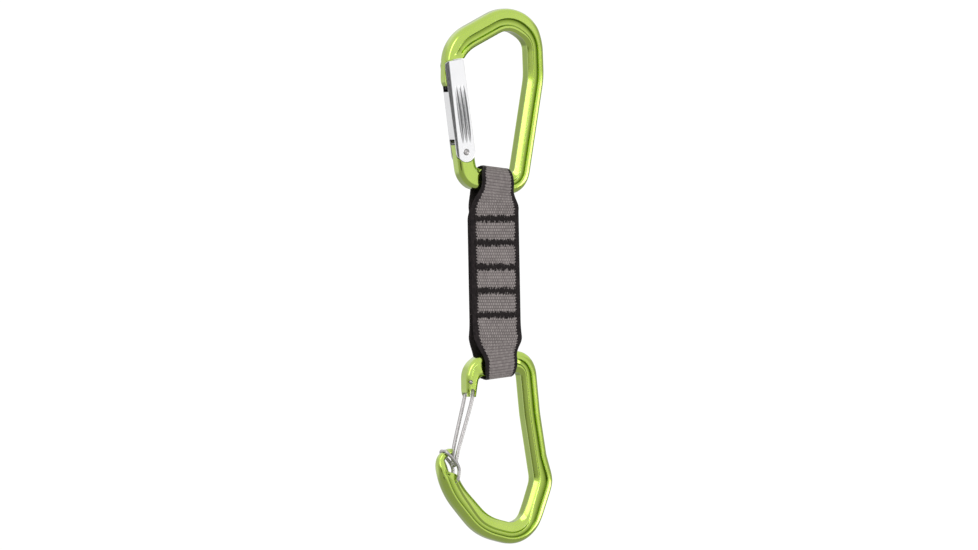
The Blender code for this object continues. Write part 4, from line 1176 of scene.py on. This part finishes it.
def woven_webbing():
    made = Finish("woven_webbing")

    def fold(value):
        """1 at whole numbers, 0 halfway between them."""
        doubled = made.math("MULTIPLY", made.math("FRACT", value), 2.0)
        return made.math("ABSOLUTE", made.math("SUBTRACT", doubled, 1.0))

    where = made.node("SeparateXYZ", {0: made.node("UVMap", uv_map="strap").outputs[0]})
    yarns = where.outputs[0]
    picks = where.outputs[1]
    row = made.math("FLOOR", picks)
    shifted = made.math("ADD", yarns, made.math("MULTIPLY", made.math("MODULO", row, 2.0), 0.5))
    yarn = made.math("FLOOR", shifted)
    # Gaps beside yarns and between rows: painted shade in them, and a dip in the bump
    beside = made.map(fold(shifted), 0.45, 0.95, 0.0, 1.0)
    between = made.map(fold(picks), 0.62, 1.0, 0.0, 0.8)
    gap = made.math("MAXIMUM", beside, between)
    cell = made.node("CombineXYZ", {0: yarn, 1: row}).outputs[0]
    dice = made.node("TexWhiteNoise", {"Vector": cell}, noise_dimensions="2D").outputs["Value"]
    patches = made.noise(made.coordinates(), 140.0, 3.0)
    fuzz = made.noise(made.coordinates(), 9000.0, 2.0)
    grey = made.mix(dice, GREY, GREY_PALE)
    grey = made.mix(made.map(patches, 0.35, 0.7, 0.0, 0.30), grey, GREY_WORN)
    grey = made.mix(made.math("MULTIPLY", gap, 0.92), grey, GREY_SHADED)
    black = made.mix(dice, BLACK, BLACK_PALE)
    from_edge = made.math("MINIMUM", yarns, made.math("SUBTRACT", float(YARN_COUNT), yarns))
    jitter = made.node("TexWhiteNoise", {"W": row}, noise_dimensions="1D").outputs["Value"]
    wave = made.math("MULTIPLY", made.math("SINE", made.math("MULTIPLY", picks, 2 * math.pi)), 0.35)
    wave = made.math("ADD", wave, made.math("MULTIPLY", jitter, 0.45))
    inside = made.map(made.math("ADD", from_edge, wave), 3.00, 3.20, 0.0, 1.0)
    lining = made.node("Attribute", attribute_name="lining").outputs["Fac"]
    inside = made.math("MULTIPLY", inside, made.math("LESS_THAN", lining, 0.5))
    made.set(Base_Color=made.mix(inside, black, grey), Roughness=made.map(fuzz, 0.3, 0.7, 0.74, 0.92))
    made.set(Normal=made.bump(fuzz, 0.25, 0.0001, made.bump(gap, -0.4, 0.0002)))
    made.set(Sheen_Weight=0.08, Sheen_Roughness=0.5, Specular_IOR_Level=0.25)
    return made.material


def tack_thread():
    made = Finish("bar_tack_thread")
    twist = {"Vector": made.coordinates(), "Scale": 1400.0, "Distortion": 2.0}
    twist = made.node("TexWave", twist, wave_type="BANDS", bands_direction="DIAGONAL").outputs["Fac"]
    fibre = made.noise(made.coordinates(), 5200.0, 3.0)
    colour = made.mix(fibre, THREAD, THREAD_PALE)
    made.set(Base_Color=colour, Roughness=made.map(fibre, 0.3, 0.7, 0.55, 0.8))
    made.set(Normal=made.bump(twist, 0.4, 0.0001))
    made.set(Specular_IOR_Level=0.25)
    return made.material


def dress(piece, material, body, slot, *nodes):
    piece.data.materials.clear()
    piece.data.materials.append(material)
    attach(piece, body)
    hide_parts(*nodes)


def build_object():
    gate_place = Matrix.Translation((BOLT_PIVOT[0], 0.0, BOLT_PIVOT[1])) @ Matrix.Rotation(-GATE_LEAN, 4, "Y")
    sling_place = sling_top()
    rope_place = Matrix.Translation(sling_place + Vector((SLING_LEAN, 0.0, -SLING_SPAN)))
    wire_place = rope_place @ Matrix.Translation((WIRE_PIVOT[0], 0.0, WIRE_PIVOT[1]))
    green = anodised_green()
    silver = polished_aluminium()
    steel = drawn_steel("stainless_wire", STEEL)
    spring = drawn_steel("spring_steel", SPRING_STEEL)
    thread = tack_thread()
    dress(build_bolt_frame(gate_place), green, "bolt_carabiner", "anodised_green", "bolt_carabiner_frame")
    dress(build_gate(gate_place), silver, "bolt_gate", "polished_aluminium", "bolt_gate")
    dress(build_rivet(gate_place), steel, "bolt_gate", "stainless_wire", "bolt_gate_rivet")
    dress(build_webbing(sling_place), woven_webbing(), "sling", "woven_webbing", "sling_webbing")
    for number in range(1, TACK_COUNT + 1):
        tack = build_bar_tack(number, sling_place)
        dress(tack, thread, "sling", "bar_tack_thread", f"bar_tack_{number}")
    rope_frame = build_rope_frame(rope_place, wire_place)
    dress(rope_frame, green, "rope_carabiner", "anodised_green", "rope_carabiner_frame")
    dress(build_hood(rope_place), steel, "rope_carabiner", "stainless_wire", "rope_hood_wire")
    dress(build_wire_gate(wire_place), steel, "rope_gate", "stainless_wire", "rope_wire_gate")
    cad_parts["bolt_gate_plunger"].material_slots[0].material = steel
    coil = build_spring(gate_place)
    dress(coil, spring, "bolt_gate", "spring_steel", "bolt_gate_spring")
    squash_spring(coil)


def lit(level):
    return 3 * (level / WORLD_STRENGTH,)


def build_world():
    """A studio round the object: soft boxes above, a pale sweep below and darker gaps between them."""
    world = bpy.data.worlds.new("studio")
    world.use_nodes = True
    bpy.context.scene.world = world
    world.node_tree.nodes.clear()
    made = Nodes(world.node_tree)
    parts = made.node("SeparateXYZ", {0: made.node("TexCoord").outputs["Generated"]})
    angle = made.math("ARCTAN2", parts.outputs[1], parts.outputs[0])
    share = made.math("MULTIPLY_ADD", angle, 0.5 / math.pi, 0.5)

    def ring(levels):
        ramp = made.node("ValToRGB", {0: share})
        elements = ramp.color_ramp.elements
        while len(elements) < len(levels):
            elements.new(0.5)
        for element, (degrees, level) in zip(elements, levels):
            element.position = 0.5 + degrees / 360
            element.color = (*lit(level), 1.0)
        return ramp.outputs[0]

    def above(heights):
        return made.map(parts.outputs[2], *heights, 0.0, 1.0)

    sides = made.mix(above(LOWER_TO_MIDDLE), ring(LOWER_RING), ring(MIDDLE_RING))
    sides = made.mix(above(MIDDLE_TO_UPPER), sides, ring(UPPER_RING))
    sides = made.mix(above(NADIR_TO_LOWER), lit(NADIR), sides)
    light = made.mix(above(UPPER_TO_ZENITH), sides, lit(ZENITH))
    backdrop = made.mix(made.node("LightPath").outputs["Is Camera Ray"], light, lit(BACKDROP))
    made.node("OutputWorld", {0: made.node("Background", {0: backdrop, 1: WORLD_STRENGTH}).outputs[0]})


def build_floor():
    bm = bmesh.new()
    bmesh.ops.create_grid(bm, x_segments=8, y_segments=8, size=4.0)
    bmesh.ops.translate(bm, verts=bm.verts[:], vec=(0.0, 0.0, FLOOR_HEIGHT))
    floor = linked(mesh_from(bm, "studio_floor"))
    made = Finish("studio_floor")
    made.set(Base_Color=FLOOR_GREY, Roughness=0.9, Emission_Color=WHITE, Emission_Strength=0.25)
    floor.data.materials.append(made.material)
    floor.visible_glossy = False


def build_light():
    light = bpy.data.lights.new("key_light", "AREA")
    light.shape = "RECTANGLE"
    light.size = KEY_SIZE
    light.size_y = KEY_SIZE
    light.energy = KEY_POWER
    obj = linked(light)
    obj.location = KEY_PLACE
    obj.rotation_euler = (Vector(CAMERA_TARGET) - Vector(KEY_PLACE)).to_track_quat("-Z", "Y").to_euler()


def build_camera():
    camera = bpy.data.cameras.new("photo_camera")
    camera.sensor_width = SENSOR_WIDTH
    camera.lens = SENSOR_WIDTH * CAMERA_DISTANCE / VIEW_WIDTH
    obj = linked(camera)
    way = Vector((math.sin(CAMERA_AZIMUTH), math.cos(CAMERA_AZIMUTH), 0.0))
    obj.location = Vector(CAMERA_TARGET) - CAMERA_DISTANCE * way
    obj.rotation_euler = (math.pi / 2, 0.0, -CAMERA_AZIMUTH)
    bpy.context.scene.camera = obj


build_camera()
build_object()
build_floor()
build_world()
build_light()
bpy.context.scene.view_settings.view_transform = "Standard"
